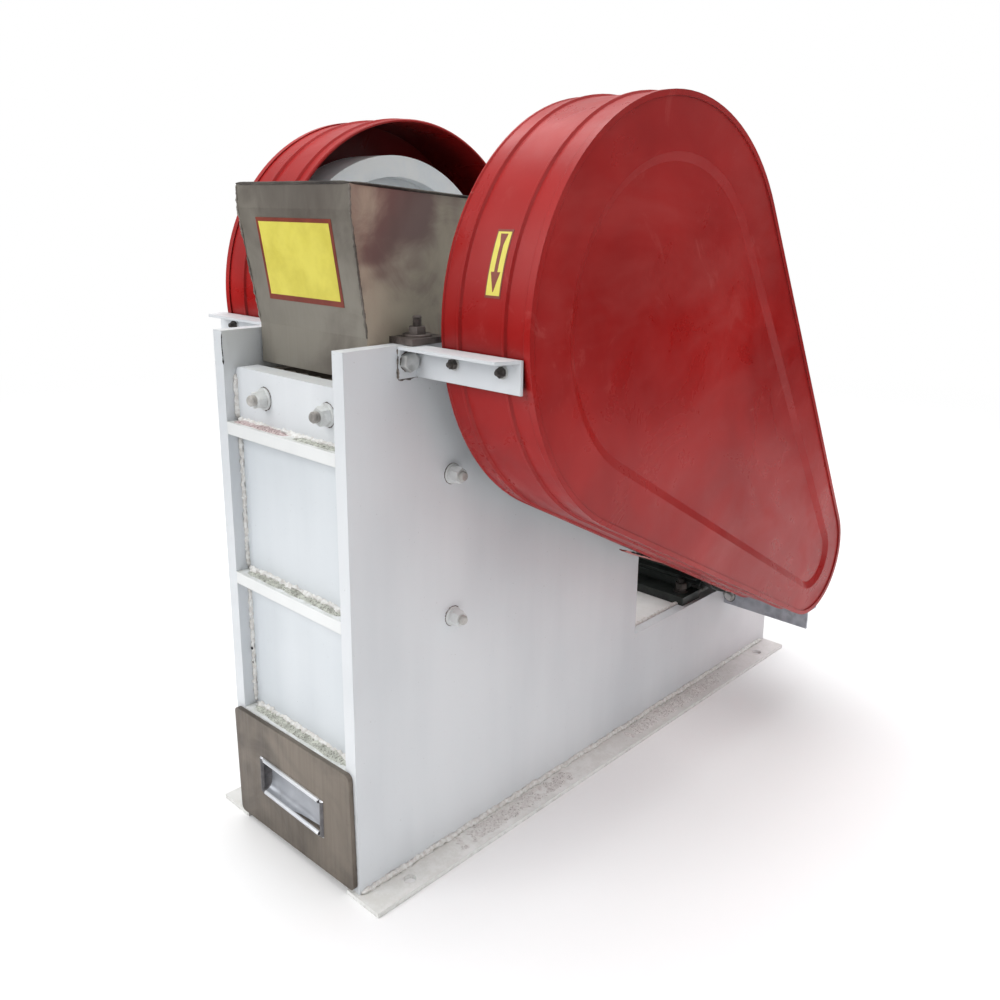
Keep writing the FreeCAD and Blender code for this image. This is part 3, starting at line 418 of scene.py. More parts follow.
NODE_MATERIALS = {}
for material, wearers in (
        (strip_paint, "base_strips drawer_runners"),
        (ledge_paint, "front_ribs drawer_shelf rear_ribs"),
        (panel_paint, "front_panel rear_wall"),
        (deck_paint_painted_light, "motor_deck deck_end_plate"),
        (housing_paint, "bearing_housing_right bearing_housing_left "
                        "bearing_seats toggle_beam"),
        (jaw_steel, "jaw_backing fixed_jaw cheek_plates swing_jaw "
                    "toggle_plate"),
        (shaft_steel, "eccentric_shaft motor_shaft"),
        (wheel_white_painted_light, "flywheel belt_pulley"),
        (belt_rubber, "v_belts"),
        (motor_paint, "motor_frame motor_feet motor_end_shields "
                      "motor_fan_cowl motor_terminal_box"),
        (pulley_iron, "motor_pulley"),
        (red, "belt_guard_band belt_guard_face flywheel_guard_band "
              "flywheel_guard_face"),
        (galvanised, "guard_bracket_rear_right guard_bracket_lower_left"),
        (hopper_steel, "hopper"),
        (greasy, "hopper_lugs"),
        (drawer_steel, "drawer_front drawer_tray"),
        (handle_steel, "drawer_handle")):
    for name in wearers.split():
        NODE_MATERIALS[name] = material
for name, node in nodes.items():
    node.data.materials.clear()
    node.data.materials.append(NODE_MATERIALS.get(name, white_paint))


# ------------------------------------------------------------------ mesh tools
def finish_piece(name, bm, materials, body="frame"):
    """Turns a bmesh in millimetres into one piece riding on a body."""
    bmesh.ops.recalc_face_normals(bm, faces=bm.faces)
    bmesh.ops.scale(bm, vec=(MM, MM, MM), verts=bm.verts)
    mesh = bpy.data.meshes.new(name)
    bm.to_mesh(mesh)
    bm.free()
    for material in materials:
        mesh.materials.append(material)
    for polygon in mesh.polygons:
        polygon.use_smooth = True
    mesh.set_sharp_from_angle(angle=SMOOTH_ANGLE)
    piece = bpy.data.objects.new(name, mesh)
    bpy.context.scene.collection.objects.link(piece)
    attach(piece, body)
    return piece


AXES = {"+X": Vector((1, 0, 0)), "-X": Vector((-1, 0, 0)),
        "+Y": Vector((0, 1, 0)), "-Y": Vector((0, -1, 0)),
        "+Z": Vector((0, 0, 1)), "-Z": Vector((0, 0, -1))}


def seat(x, y, z, axis, turn=0.0):
    """Matrix that puts local Z along a row-frame axis at a point."""
    turned = AXES[axis].to_track_quat("Z", "Y").to_matrix().to_4x4()
    return (Matrix.Translation((x, y, z)) @ turned
            @ Matrix.Rotation(math.radians(turn), 4, "Z"))


def skin(bm, a, b, material=0, closed=False):
    """Quads between two rows of vertices, back to the start if closed."""
    count = len(a)
    for i in range(count if closed else count - 1):
        j = (i + 1) % count
        bm.faces.new([a[i], a[j], b[j], b[i]]).material_index = material


def border(grid):
    """The vertices round a grid's edge, in order."""
    return [*grid[0], *(row[-1] for row in grid[1:]), *grid[-1][-2::-1],
            *(row[0] for row in grid[-2:0:-1])]


def lathe(bm, profile, matrix, segments=32, material=0, closed=False):
    """Revolves (radius, height) points about local Z."""
    rings = []
    for r, h in profile:
        if r < 1e-6:
            rings.append([bm.verts.new(matrix @ Vector((0, 0, h)))])
            continue
        rings.append([bm.verts.new(matrix @ Vector(
            (r * math.cos(2 * math.pi * i / segments),
             r * math.sin(2 * math.pi * i / segments), h)))
            for i in range(segments)])
    pairs = list(zip(rings, rings[1:]))
    if closed:
        pairs.append((rings[-1], rings[0]))
    for a, b in pairs:
        for i in range(segments):
            j = (i + 1) % segments
            corners = [a[i % len(a)], a[j % len(a)], b[j % len(b)],
                       b[i % len(b)]]
            unique = list(dict.fromkeys(corners))
            if len(unique) > 2:
                bm.faces.new(unique).material_index = material


def washer(bm, matrix, base, r_out, r_in, t):
    """Flat ring with eased edges standing on base."""
    e = min(0.5, t / 3)
    lathe(bm, [(r_in, base), (r_out, base), (r_out, base + t - e),
               (r_out - e, base + t), (r_in, base + t)], matrix, 40,
          closed=True)


def hexagon(bm, matrix, base, across, height, bore=0.0, material=0):
    """Nut or bolt head with a chamfered top."""
    r = across / math.sqrt(3)
    profile = [(bore, base), (r, base), (r, base + height * 0.84),
               (r * 0.9, base + height), (bore, base + height)]
    lathe(bm, profile, matrix, 6, material, closed=bore > 0)


def thread(bm, matrix, base, top, r, pitch, material=0):
    """Stud end with cut threads and an eased tip."""
    depth = 0.55 * pitch
    profile = [(0.0, base), (r, base)]
    h = base
    while h + pitch < top - pitch:
        profile += [(r, h + 0.2 * pitch), (r - depth, h + 0.6 * pitch),
                    (r, h + pitch)]
        h += pitch
    profile += [(r, top - pitch), (r - 0.8 * pitch, top), (0.0, top)]
    lathe(bm, profile, matrix, 24, material)


def dirt_and_contact_shadow_ring(bm, matrix, r_out, material):
    """Dirt and painted contact shadow round the foot of a fastener, a ragged
    thin skirt.
    """
    inner, outer, low = [], [], []
    count = 48
    for i in range(count):
        angle = 2 * math.pi * i / count
        way = Vector((math.cos(angle), math.sin(angle), 0))
        spread = r_out + 0.9 * noise.noise(matrix @ (way * 9.0)) + 0.7
        inner.append(bm.verts.new(matrix @ (way * (r_out - 1.0)
                                            + Vector((0, 0, 0.9)))))
        outer.append(bm.verts.new(matrix @ (way * spread
                                            + Vector((0, 0, 0.12)))))
        low.append(bm.verts.new(matrix @ (way * (r_out - 1.0)
                                          - Vector((0, 0, 0.3)))))
    for i in range(count):
        j = (i + 1) % count
        for a, b in ((inner, outer), (outer, low), (low, inner)):
            bm.faces.new([a[i], a[j], b[j], b[i]]).material_index = material


def stud_and_nut(bm, matrix, size, flat_r, tip, spring=True, ring_dirt_and_shadow=None):
    """Washer, spring washer, nut and stud end for a thread size."""
    height = 2.4
    washer(bm, matrix, 0.0, flat_r, size / 2 + 0.3, height)
    # the dark skirt is dirt and painted contact shadow
    if ring_dirt_and_shadow is not None:
        dirt_and_contact_shadow_ring(bm, matrix, flat_r, ring_dirt_and_shadow)
    if spring:
        washer(bm, matrix, height, size * 0.82, size / 2 + 0.2, 2.6)
        height += 2.6
    nut = size * 0.85
    hexagon(bm, matrix, height, size * 1.5, nut, size / 2 - 0.1)
    thread(bm, matrix, height + 0.5, height + nut + tip, size / 2,
           size * 0.15, 0 if ring_dirt_and_shadow is None else ring_dirt_and_shadow + 1)


def cap_bolt(bm, matrix, size, flat_r=0.0):
    """Hex-headed bolt, on a washer if one is given."""
    height = 0.0
    if flat_r:
        height = size * 0.16
        washer(bm, matrix, 0.0, flat_r, size / 2, height)
    hexagon(bm, matrix, height, size * 1.5, size * 0.64)


def weld(bm, points, radius, seed, pitch, rough=0.22, ripple=0.2):
    """Rippled bead along a path, half sunk in the plates it joins."""
    sides = 8
    path = [Vector(p) for p in points]
    stations = []
    for a, b in zip(path, path[1:]):
        count = max(2, int((b - a).length / (pitch / 3.2)))
        stations += [a.lerp(b, i / count) for i in range(count)]
    stations.append(path[-1])
    rings, travelled = [], 0.0
    for i, at in enumerate(stations):
        ahead = stations[min(i + 1, len(stations) - 1)]
        behind = stations[max(i - 1, 0)]
        along = (ahead - behind).normalized()
        side = along.cross(Vector((0.31, 0.52, 0.79))).normalized()
        up = side.cross(along)
        if i:
            travelled += (at - stations[i - 1]).length
        swell = 1 - 0.7 * ripple + ripple * abs(
            math.sin(math.pi * travelled / pitch))
        ends = min(1.0, 0.35 + 0.25 * min(i, len(stations) - 1 - i))
        ring = []
        for k in range(sides):
            angle = 2 * math.pi * k / sides
            way = side * math.cos(angle) + up * math.sin(angle)
            lump = noise.noise((at + way * radius) * 0.21
                               + Vector((seed, 0, 0)))
            size = radius * ends * swell * (1 + rough * 2 * lump)
            ring.append(bm.verts.new(at + way * size))
        rings.append(ring)
    for a, b in zip(rings, rings[1:]):
        skin(bm, a, b, closed=True)
    for cap in (rings[0], rings[-1]):
        bm.faces.new(cap)


def crust(bm, x0, x1, y0, y1, z, height, seed, cell, bank=0.0):
    """Caked dust on a ledge: a lumpy top over a flat base inside the plate.
    bank piles it up towards y1."""
    sink = 0.4
    nx = max(4, int((x1 - x0) / cell))
    ny = max(3, int((y1 - y0) / cell))
    grid = []
    for j in range(ny + 1):
        row = []
        for i in range(nx + 1):
            u, v = i / nx, j / ny
            x, y = x0 + (x1 - x0) * u, y0 + (y1 - y0) * v
            coarse = noise.noise(Vector((x * 0.045, y * 0.09, seed)))
            fine = noise.noise(Vector((x * 0.35, y * 0.35, seed + 7)))
            rim = min(1.0, 6 * u, 6 * (1 - u), 3 * v + 0.2,
                      3 * (1 - v) + (0.2 if bank == 0 else 1.0))
            lift = height * (0.35 + 0.9 * coarse + 0.55 * fine + bank * v)
            row.append(bm.verts.new((x, y, z - sink + max(
                0.05, (lift + sink) * rim))))
        grid.append(row)
    for a, b in zip(grid, grid[1:]):
        skin(bm, a, b)
    loop = border(grid)
    low = [bm.verts.new((v.co.x, v.co.y, z - sink - 0.2)) for v in loop]
    skin(bm, loop, low, closed=True)
    bm.faces.new(low)


def corner(node, side):
    """A node's box corner in millimetres: side 0 lowest, 1 highest."""
    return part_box(node)[side] / MM


def corners(node):
    return corner(node, 0), corner(node, 1)


def centre(node):
    return [(a + b) / 2 for a, b in zip(*corners(node))]


# ------------------------------------------------------------ measured layout
plate_lo, plate_hi = corners("side_plate_right")
X_IN, X_OUT = plate_lo.x, plate_hi.x
Y_FRONT, Y_REAR = plate_lo.y, plate_hi.y
Z_BASE, Z_TOP = plate_lo.z, plate_hi.z
block_lo, block_hi = corners("front_cross_block")
ribs_lo, ribs_hi = corners("front_ribs")
panel_lo = corner("front_panel", 0)
shelf_hi = corner("drawer_shelf", 1)
deck_hi = corner("motor_deck", 1)
Y_NOTCH = corner("rear_ribs", 1).y
RIB_T = 13.0
MID_RIB_TOP = ribs_lo.z + RIB_T
UP_RIB_TOP = ribs_hi.z
STUD_Z, STUD_X = 491.5, (-39.0, 64.0)
CHEEK_Y, CHEEK_Z = Y_FRONT + 130.0, (268.0, 421.0)
BRACKET_T = 3.0
SIDES = ((1, "+X", "right"), (-1, "-X", "left"))


# ------------------------------------------------------------------- fasteners
def front_studs():
    bm = bmesh.new()
    for x, turn in zip(STUD_X, (12, 41)):
        # each nut stands in a dark skirt of dirt and painted contact shadow
        stud_and_nut(bm, seat(x, block_lo.y, STUD_Z, "-Y", turn), 11.0, 11.2,
                     6.5, spring=False, ring_dirt_and_shadow=1)
    finish_piece("jaw_stud_nuts", bm, [bolt_paint, greasy, stud_steel])


def side_studs():
    for side, axis, label in SIDES:
        bm = bmesh.new()
        for z, turn in zip(CHEEK_Z, (8, 25)):
            # each nut stands in a dark skirt of dirt and painted contact shadow
            stud_and_nut(bm, seat(side * X_OUT, CHEEK_Y, z, axis, turn), 10.0,
                         10.2, 5.0, ring_dirt_and_shadow=1)
        finish_piece("cheek_stud_nuts_" + label, bm,
                     [bolt_paint, greasy, stud_steel])


def bracket_bolts():
    """Bolts of the four guard brackets."""
    guard_screw_x = {"right": (160.0, 219.0), "left": (152.0, 212.0)}
    for side, axis, label in SIDES:
        lo, hi = corners("guard_bracket_front_" + label)
        bm = bmesh.new()
        at = seat(side * (X_OUT + BRACKET_T), (lo.y + hi.y) / 2 - 2.0,
                  hi.z - 14.5, axis, 20)
        # dark skirt round the bolt: dirt and painted contact shadow
        dirt_and_contact_shadow_ring(bm, at, 8.9, 1)
        cap_bolt(bm, at, 11.2)
        for x, turn in zip(guard_screw_x[label], (5, 33)):
            at = seat(side * x, hi.y - BRACKET_T, hi.z - 12.0, "-Y", turn)
            washer(bm, at, 0.0, 6.0, 2.6, 1.2)
            hexagon(bm, at, 1.2, 8.6, 4.2, 2.4, 1)
            thread(bm, at, 1.3, 9.0, 2.5, 0.8, 1)
        finish_piece("front_bracket_bolts_" + label, bm,
                     [bolt_zinc if side > 0 else bolt_paint, bolt_dark])
    lo, hi = corners("guard_bracket_rear_right")
    bm = bmesh.new()
    at = seat(X_OUT + 8.5, lo.y, hi.z - 13.5, "-Y", 10)
    # dark skirt round the bolt: dirt and painted contact shadow
    dirt_and_contact_shadow_ring(bm, at, 9.0, 1)
    cap_bolt(bm, at, 7.0, 8.5)
    for x in (X_OUT + 40.0, X_OUT + 105.0):
        y = lo.y + 13.0
        thread(bm, seat(x, y, hi.z, "+Z"), -8.0, 9.0, 3.0, 1.0)
        for z, axis in ((hi.z, "+Z"), (hi.z - BRACKET_T, "-Z")):
            hexagon(bm, seat(x, y, z, axis, 15), 0.0, 10.0, 5.0, 2.9)
    finish_piece("rear_bracket_bolts_right", bm, [bolt_zinc, bolt_dark])
    lo, hi = corners("guard_bracket_lower_left")
    bm = bmesh.new()
    for x in (-150.0, -205.0):
        at = seat(x, (lo.y + hi.y) / 2, hi.z - BRACKET_T, "-Z", 12)
        cap_bolt(bm, at, 6.0, 6.5)
    finish_piece("lower_bracket_bolts_left", bm, [bolt_zinc])


def lug_studs():
    lo, hi = corners("hopper_lugs")
    bm = bmesh.new()
    for side in (-1, 1):
        matrix = seat(side * (X_OUT - 5.0), (lo.y + hi.y) / 2, hi.z, "+Z", 18)
        washer(bm, matrix, 0.0, 14.0, 5.2, 2.2)
        hexagon(bm, matrix, 2.2, 15.5, 7.0, 4.2)
        thread(bm, matrix, 2.5, 19.0, 4.3, 1.3)
    finish_piece("hopper_lug_studs", bm, [greasy])


def housing_bolts():
    """Bearing housing foot bolts and cover screws."""
    foot_inset, foot_t = 14.0, 20.0
    cover_r, screws = 33, 6
    for side, axis, label in SIDES:
        lo, hi = corners("bearing_housing_" + label)
        y_mid = (lo.y + hi.y) / 2
        z_mid = hi.z - 50.0
        bm = bmesh.new()
        for y in (lo.y + foot_inset, hi.y - foot_inset):
            stud_and_nut(bm, seat(side * (X_IN + 16.0), y, Z_TOP + foot_t,
                                  "+Z", 9), 12.0, 12.5, 7.0)
        face = hi.x if side > 0 else -lo.x
        for k in range(screws):
            angle = math.radians(60 * k + 30)
            cap_bolt(bm, seat(side * face, y_mid + cover_r * math.cos(angle),
                              z_mid + cover_r * math.sin(angle), axis, 10),
                     5.0)
        finish_piece("housing_bolts_" + label, bm, [bolt_paint])


def motor_bolts():
    """Foot bolts, terminal-box lid screws and end-shield screws."""
    inset_x, inset_y, foot_t = 17.0, 20.0, 12.0
    shield_r, shield_back, lid_inset = 76, 14.0, 10.0
    lo, hi = corners("motor_feet")
    mid_y, mid_z = (lo.y + hi.y) / 2, centre("motor_shaft")[2]
    bm = bmesh.new()
    for x in (lo.x + inset_x, hi.x - inset_x):
        for y in (lo.y + inset_y, hi.y - inset_y):
            stud_and_nut(bm, seat(x, y, deck_hi.z + foot_t, "+Z", 16), 10.0,
                         10.5, 6.0)
    finish_piece("motor_foot_bolts", bm, [bolt_dark])
    shield_x = corner("motor_end_shields", 1).x - shield_back
    bm = bmesh.new()
    for k in range(4):
        angle = math.radians(45 + 90 * k)
        cap_bolt(bm, seat(shield_x, mid_y + shield_r * math.cos(angle),
                          mid_z + shield_r * math.sin(angle), "+X", 10), 6.0)
    lo, hi = corners("motor_terminal_box")
    for x in (lo.x + lid_inset, hi.x - lid_inset):
        for y in (lo.y + lid_inset, hi.y - lid_inset):
            cap_bolt(bm, seat(x, y, hi.z, "+Z", 7), 5.0)
    finish_piece("motor_screws", bm, [bolt_zinc])


def wheel_end_bolts():
    """Retaining washers and bolts on both ends of the shaft."""
    lo, hi = corners("eccentric_shaft")
    _, y, z = centre("eccentric_shaft")
    bm = bmesh.new()
    for x, axis in ((hi.x, "+X"), (lo.x, "-X")):
        matrix = seat(x, y, z, axis, 14)
        washer(bm, matrix, 0.0, 20.0, 6.0, 4.0)
        hexagon(bm, matrix, 4.0, 18.0, 7.5)
    finish_piece("shaft_end_bolts", bm, [bolt_zinc], body="rotor")


# ----------------------------------------------------------------------- welds
def frame_welds():
    rng = random.Random(4)
    y0, y1 = Y_FRONT + 2.0, Y_REAR - 2.0
    for side, _, label in SIDES:
        bm = bmesh.new()
        path, y = [], y0
        while y < y1:
            path.append((side * (X_OUT + 0.6 + rng.uniform(-0.5, 0.9)), y,
                         Z_BASE + 1.8 + rng.uniform(-0.4, 0.7)))
            y += 14.0
        weld(bm, path, 3.2, 3.0 + side, 6.0, rough=0.34)
        finish_piece("base_weld_" + label, bm, [weld_white])
    bm = bmesh.new()
    for level, rough in ((MID_RIB_TOP, 0.4), (shelf_hi.z, 0.45)):
        weld(bm, [(-X_IN + 2, panel_lo.y + 0.4, level + 0.8),
                  (0, panel_lo.y + 0.6, level + 1.2),
                  (X_IN - 2, panel_lo.y + 0.4, level + 0.8)], 4.0,
             level * 0.01, 5.0, rough=rough)
    weld(bm, [(-X_IN + 2, block_lo.y + 0.4, UP_RIB_TOP + 0.6),
              (X_IN - 2, block_lo.y + 0.4, UP_RIB_TOP + 0.6)], 3.6, 8.0, 5.0,
         rough=0.4)
    for side in (-1, 1):
        x = side * (X_IN - 0.5)
        for low, high in ((MID_RIB_TOP, ribs_hi.z - RIB_T),
                          (shelf_hi.z, ribs_lo.z)):
            weld(bm, [(x, panel_lo.y - 0.3, low + 2),
                      (x, panel_lo.y - 0.3, high - 2)], 2.9, side + low, 4.5,
                 rough=0.4)
        weld(bm, [(x, block_lo.y - 0.3, UP_RIB_TOP + 2),
                  (x, block_lo.y - 0.3, block_hi.z - 8)], 3.2, side * 5.0,
             4.0, rough=0.3)
    finish_piece("front_welds", bm, [weld_white])
    bm = bmesh.new()
    for side in (-1, 1):
        x = side * (X_IN - 0.4)
        weld(bm, [(x, Y_NOTCH - 14.5, deck_hi.z + 3),
                  (x, Y_NOTCH - 14.5, Z_TOP - 18)], 3.4, side * 9.0, 4.5)
        weld(bm, [(x, Y_NOTCH - 12, deck_hi.z + 0.5),
                  (x, Y_REAR - 4, deck_hi.z + 0.5)], 3.0, side * 11.0, 4.5)
    finish_piece("rear_welds", bm, [weld_white])


def bracket_welds():
    for side, _, label in SIDES:
        lo, hi = corners("guard_bracket_front_" + label)
        x = side * (X_OUT + 0.6)
        bm = bmesh.new()
        weld(bm, [(x, lo.y + 1.0, hi.z - 2), (x, lo.y + 0.5, lo.z + 2),
                  (x, lo.y + 4, lo.z - 0.2), (x, hi.y - 1, lo.z - 0.4),
                  (x, hi.y + 0.4, lo.z + 4), (x, hi.y + 0.5, hi.z - 3)], 1.6,
             6.0 + side, 3.0, rough=0.5)
        finish_piece("bracket_weld_" + label, bm, [weld_bare])


# --------------------------------------------------------- dust on the ledges
def ledge_dust():
    inset = 1.5
    bm = bmesh.new()
    crust(bm, -X_IN + inset, X_IN - inset, Y_FRONT + 3.5, panel_lo.y + 0.5,
          MID_RIB_TOP, 1.1, 3.1, 1.6, bank=1.3)
    crust(bm, -X_IN + inset, X_IN - inset, Y_FRONT + 2.5, panel_lo.y + 0.5,
          shelf_hi.z, 1.3, 5.7, 1.6, bank=1.5)
    crust(bm, 12.0, X_IN - inset, Y_FRONT + 3.0, block_lo.y + 0.5,
          UP_RIB_TOP, 1.0, 9.2, 1.6, bank=1.2)
    finish_piece("ledge_grit", bm, [ledge_grit])
    bm = bmesh.new()
    crust(bm, -X_IN + inset, 8.0, Y_FRONT + 3.0, block_lo.y + 0.5,
          UP_RIB_TOP, 1.3, 14.4, 1.6, bank=1.8)
    finish_piece("upper_rib_grit", bm, [pink_grit])
    bm = bmesh.new()
    for side in (-1, 1):
        edge = sorted((side * (X_OUT + 2.0), side * (X_OUT + 30.0)))
        for y0, y1, seed in ((-336.0, -60.0, 21.0), (-52.0, 338.0, 24.0)):
            crust(bm, edge[0], edge[1], y0, y1, Z_BASE, 0.3, seed + side, 3.2)
    finish_piece("strip_grit", bm, [pale_grit])


# ------------------------------------------------------------ sticker, arrow
NECK_FRONT_Y, NECK_REAR_Y = -368.0, -226.0
NECK_Z = Z_TOP + 6.0
RIM_H, REAR_RIM_DROP = 23.0, 14.5
LABEL_Z = 626.6


def flat_label():
    """Plain yellow panel with a dark red edge on the hopper's front."""
    lo, hi = corners("hopper")
    top = Vector((0, lo.y, hi.z - RIM_H))
    foot = Vector((0, NECK_FRONT_Y, NECK_Z))
    down = (foot - top).normalized()
    right = Vector((1, 0, 0))
    out = right.cross(down)
    if out.y > 0:
        out = -out
    middle = top + down * ((top.z - LABEL_Z) / -down.z)
    bm = bmesh.new()

    def slab(half_w, half_h, lift, base, top_h, material):
        """Film whose corners lift a hair off the sheet."""
        count = 12
        layers = []
        for h in (base, top_h):
            rows = []
            for j in range(count + 1):
                row = []
                for i in range(count + 1):
                    a, b = 2 * i / count - 1, 2 * j / count - 1
                    curl = 0.5 * max(0.0, abs(a * b) - 0.7)
                    row.append(bm.verts.new(
                        middle + right * (a * half_w)
                        + down * (b * half_h - lift) + out * (h + curl)))
                rows.append(row)
            layers.append(rows)
        for rows in layers:
            for a, b in zip(rows, rows[1:]):
                skin(bm, a, b, material)
        skin(bm, border(layers[0]), border(layers[1]), material, closed=True)

    slab(60.0, 40.0, 0.0, 0.1, 0.35, 0)
    slab(56.0, 35.4, 0.8, 0.36, 0.5, 1)
    finish_piece("front_label", bm, [film_red, film_yellow])


def arrow_decal():
    """Turning-direction arrow on the belt guard's band."""
    cy, cz, r = -111.5, 571.0, 212.6    # the band's bend over the pulley
    mid = 198.5                         # the arrow's middle line in X
    bm = bmesh.new()

    def on_band(x, angle, h):
        a = math.radians(angle)
        return Vector((x, cy - (r + h) * math.cos(a),
                       cz + (r + h) * math.sin(a)))

    def ribbon(rows, low, high, material):
        """Closed slab wrapped on the band, from (angle, x0, x1) rows."""
        layers = [[(bm.verts.new(on_band(x0, a, h)),
                    bm.verts.new(on_band(x1, a, h))) for a, x0, x1 in rows]
                  for h in (low, high)]
        for i in range(len(rows) - 1):
            for layer in layers:
                bm.faces.new([layer[i][0], layer[i][1], layer[i + 1][1],
                              layer[i + 1][0]]).material_index = material
            for k in (0, 1):
                bm.faces.new([layers[0][i][k], layers[0][i + 1][k],
                              layers[1][i + 1][k],
                              layers[1][i][k]]).material_index = material
        for i in (0, len(rows) - 1):
            bm.faces.new([layers[0][i][0], layers[0][i][1], layers[1][i][1],
                          layers[1][i][0]]).material_index = material

    def taper(a0, a1, half0, half1, steps=8):
        """Rows about the strip's middle, half widths running evenly."""
        return [(a0 + (a1 - a0) * i / steps,
                 mid - half0 + (half0 - half1) * i / steps,
                 mid + half0 - (half0 - half1) * i / steps)
                for i in range(steps + 1)]

    ribbon(taper(8.6, 24.7, 9.2, 9.2, 16), 0.05, 0.25, 1)
    ribbon(taper(9.2, 24.1, 7.8, 7.8, 16), 0.26, 0.45, 0)
    ribbon(taper(10.0, 14.6, 0.3, 5.4), 0.46, 0.6, 1)
    ribbon(taper(14.5, 22.0, 1.9, 1.9), 0.46, 0.6, 1)
    ribbon(taper(21.0, 23.6, 1.9, 4.2, 4), 0.46, 0.62, 1)
    finish_piece("turning_arrow", bm, [film_yellow, film_red])


# --------------------------------------------------- hopper hems and seams
def hopper_seams():
    """Rolled rim, dark as painted shade along the top edge, and the seam welds
    down the four corners.
    """
    lo, hi = corners("hopper")
    half, y0, y1 = hi.x, lo.y, hi.y
    z0, z1 = hi.z, hi.z - REAR_RIM_DROP
    bm = bmesh.new()
    rim = [(-half, y0, z0), (half, y0, z0), (half, y1, z1), (-half, y1, z1)]
    for a, b in zip(rim, rim[1:] + rim[:1]):
        weld(bm, [a, b], 1.5, 31.0, 9.0, rough=0.05, ripple=0.03)
    # the rim bead's dark colour is painted shade
    finish_piece("hopper_rim", bm, [hopper_rim_painted_shade])
    bm = bmesh.new()
    for side in (-1, 1):
        for z, lip_y, neck_y in ((z0, y0, NECK_FRONT_Y), (z1, y1, NECK_REAR_Y)):
            weld(bm, [(side * half, lip_y, z - 1.5),
                      (side * half, lip_y, z - RIM_H),
                      (side * (half - 3.5), neck_y, NECK_Z)], 1.1,
                 40.0 + side, 3.2, rough=0.5)
    finish_piece("hopper_seams", bm, [hopper_hem])


def drawer_pull():
    """Flush pull: rolled lips, painted bright as a highlight, round a scooped
    cup with its ends painted dark as shade, turned with the drawer front."""
    x, _, z = centre("drawer_handle")
    middle = Vector((x, corner("drawer_front", 0).y, z))
    half_w, half_h, sheet_t, front_tilt = 57.0, 22.0, 1.3, 1.2
    cup_end, lip_end = 0.888, 0.86      # shares of the half width
    section = [(0.3, 1.0), (-1.6, 0.985), (-2.7, 0.93), (-2.9, 0.87),
               (-2.1, 0.81), (-0.4, 0.77), (2.2, 0.745), (5.2, 0.66),
               (7.4, 0.48), (8.4, 0.2)]
    section += [(y, -t) for y, t in reversed(section)]
    stations = [(1.0, 0.0), (0.975, 0.55), (0.95, 0.7), (0.925, 0.6),
                (0.905, 0.3), (0.89, 0.0), (0.885, 0.35), (0.87, 0.8),
                (0.84, 1.0)]
    columns = ([(-a, b) for a, b in stations]
               + [(-0.5, 1.0), (0.0, 1.0), (0.5, 1.0)]
               + [(a, b) for a, b in reversed(stations)])
    tilt = Matrix.Rotation(math.radians(front_tilt), 3, "Y")
    bm = bmesh.new()
    layers = []
    for back in (0.0, sheet_t):
        grid = []
        for along, depth in columns:
            end_cap = abs(along) > cup_end
            column = []
            for y, up in section:
                if end_cap:
                    y = -3.0 * depth if abs(up) < 0.97 else 0.3
                elif y > 0:
                    y *= depth
                column.append(bm.verts.new(middle + tilt @ Vector(
                    (along * half_w, y + back, up * half_h))))
            grid.append(column)
        layers.append(grid)
    wide, tall = len(columns), len(section)
    for i in range(wide - 1):
        for j in range(tall - 1):
            out_along = abs(columns[i][0])
            # index 0 marks the lips, painted bright as a highlight; index 2
            # marks the end caps, painted dark as shade
            index = int(out_along < cup_end and 5 <= j <= tall - 7)
            if out_along > lip_end and 2 <= j <= tall - 4:
                index = 2
            for grid in layers:
                bm.faces.new([grid[i][j], grid[i + 1][j], grid[i + 1][j + 1],
                              grid[i][j + 1]]).material_index = index
    front, rear = (border(list(zip(*grid))) for grid in layers)
    skin(bm, front, rear, closed=True)
    piece = finish_piece("drawer_pull", bm, [pull_lip_painted_highlight, handle_steel,
                                             pull_end_painted_shade], body="drawer")
    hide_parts("drawer_handle")


def torn_lip():
    """Overlapped, split hem under the belt guard by the frame's notch."""
    x0 = corner("belt_guard_band", 0).x
    a, b = Vector((0, -37.0, 286.0)), Vector((0, 172.0, 194.5))
    along = (b - a).normalized()
    out = Vector((0, along.z, -along.y))
    if out.z > 0:
        out = -out
    steps = 44
    bm = bmesh.new()
    rings = []
    for i in range(steps + 1):
        t = i / steps
        at = a.lerp(b, t)
        bulge = math.sin(math.pi * min(1.0, t * 1.02)) ** 0.7
        wander = noise.noise(Vector((t * 7.0, 3.3, 0.0)))
        lift = 0.5 + 2.2 * bulge * (0.75 + 0.5 * wander)
        edge = x0 + 0.6 - 1.2 * wander
        width = 11.0 + 4.0 * bulge + 2.0 * wander
        ring = [(edge, lift + 0.2), (edge - 0.2, lift + 1.3),
                (edge + 0.35 * width, lift * 0.8 + 2.2),
                (edge + 0.75 * width, 2.0), (edge + width, 0.1),
                (edge + 0.4 * width, lift * 0.5 + 0.4)]
        rings.append([bm.verts.new(Vector((x, 0, 0)) + at + out * h)
                      for x, h in ring])
    for p, q in zip(rings, rings[1:]):
        skin(bm, p, q, closed=True)
    for cap in (rings[0], rings[-1]):
        bm.faces.new(cap)
    finish_piece("guard_torn_hem", bm, [red_pale])
    bm = bmesh.new()
    for t0, t1, x, r in ((0.03, 0.42, 13.5, 0.9), (0.36, 0.97, 17.5, 1.3)):
        path = []
        for i in range(9):
            t = t0 + (t1 - t0) * i / 8
            drift = 2.0 * noise.noise(Vector((t * 5.0, 9.1, 0.0)))
            path.append(a.lerp(b, t) + out * 0.5
                        + Vector((x0 + x + drift, 0, 0)))
        weld(bm, path, r, x, 5.0, rough=0.5, ripple=0.1)
    finish_piece("guard_hem_crack", bm, [black_gap])


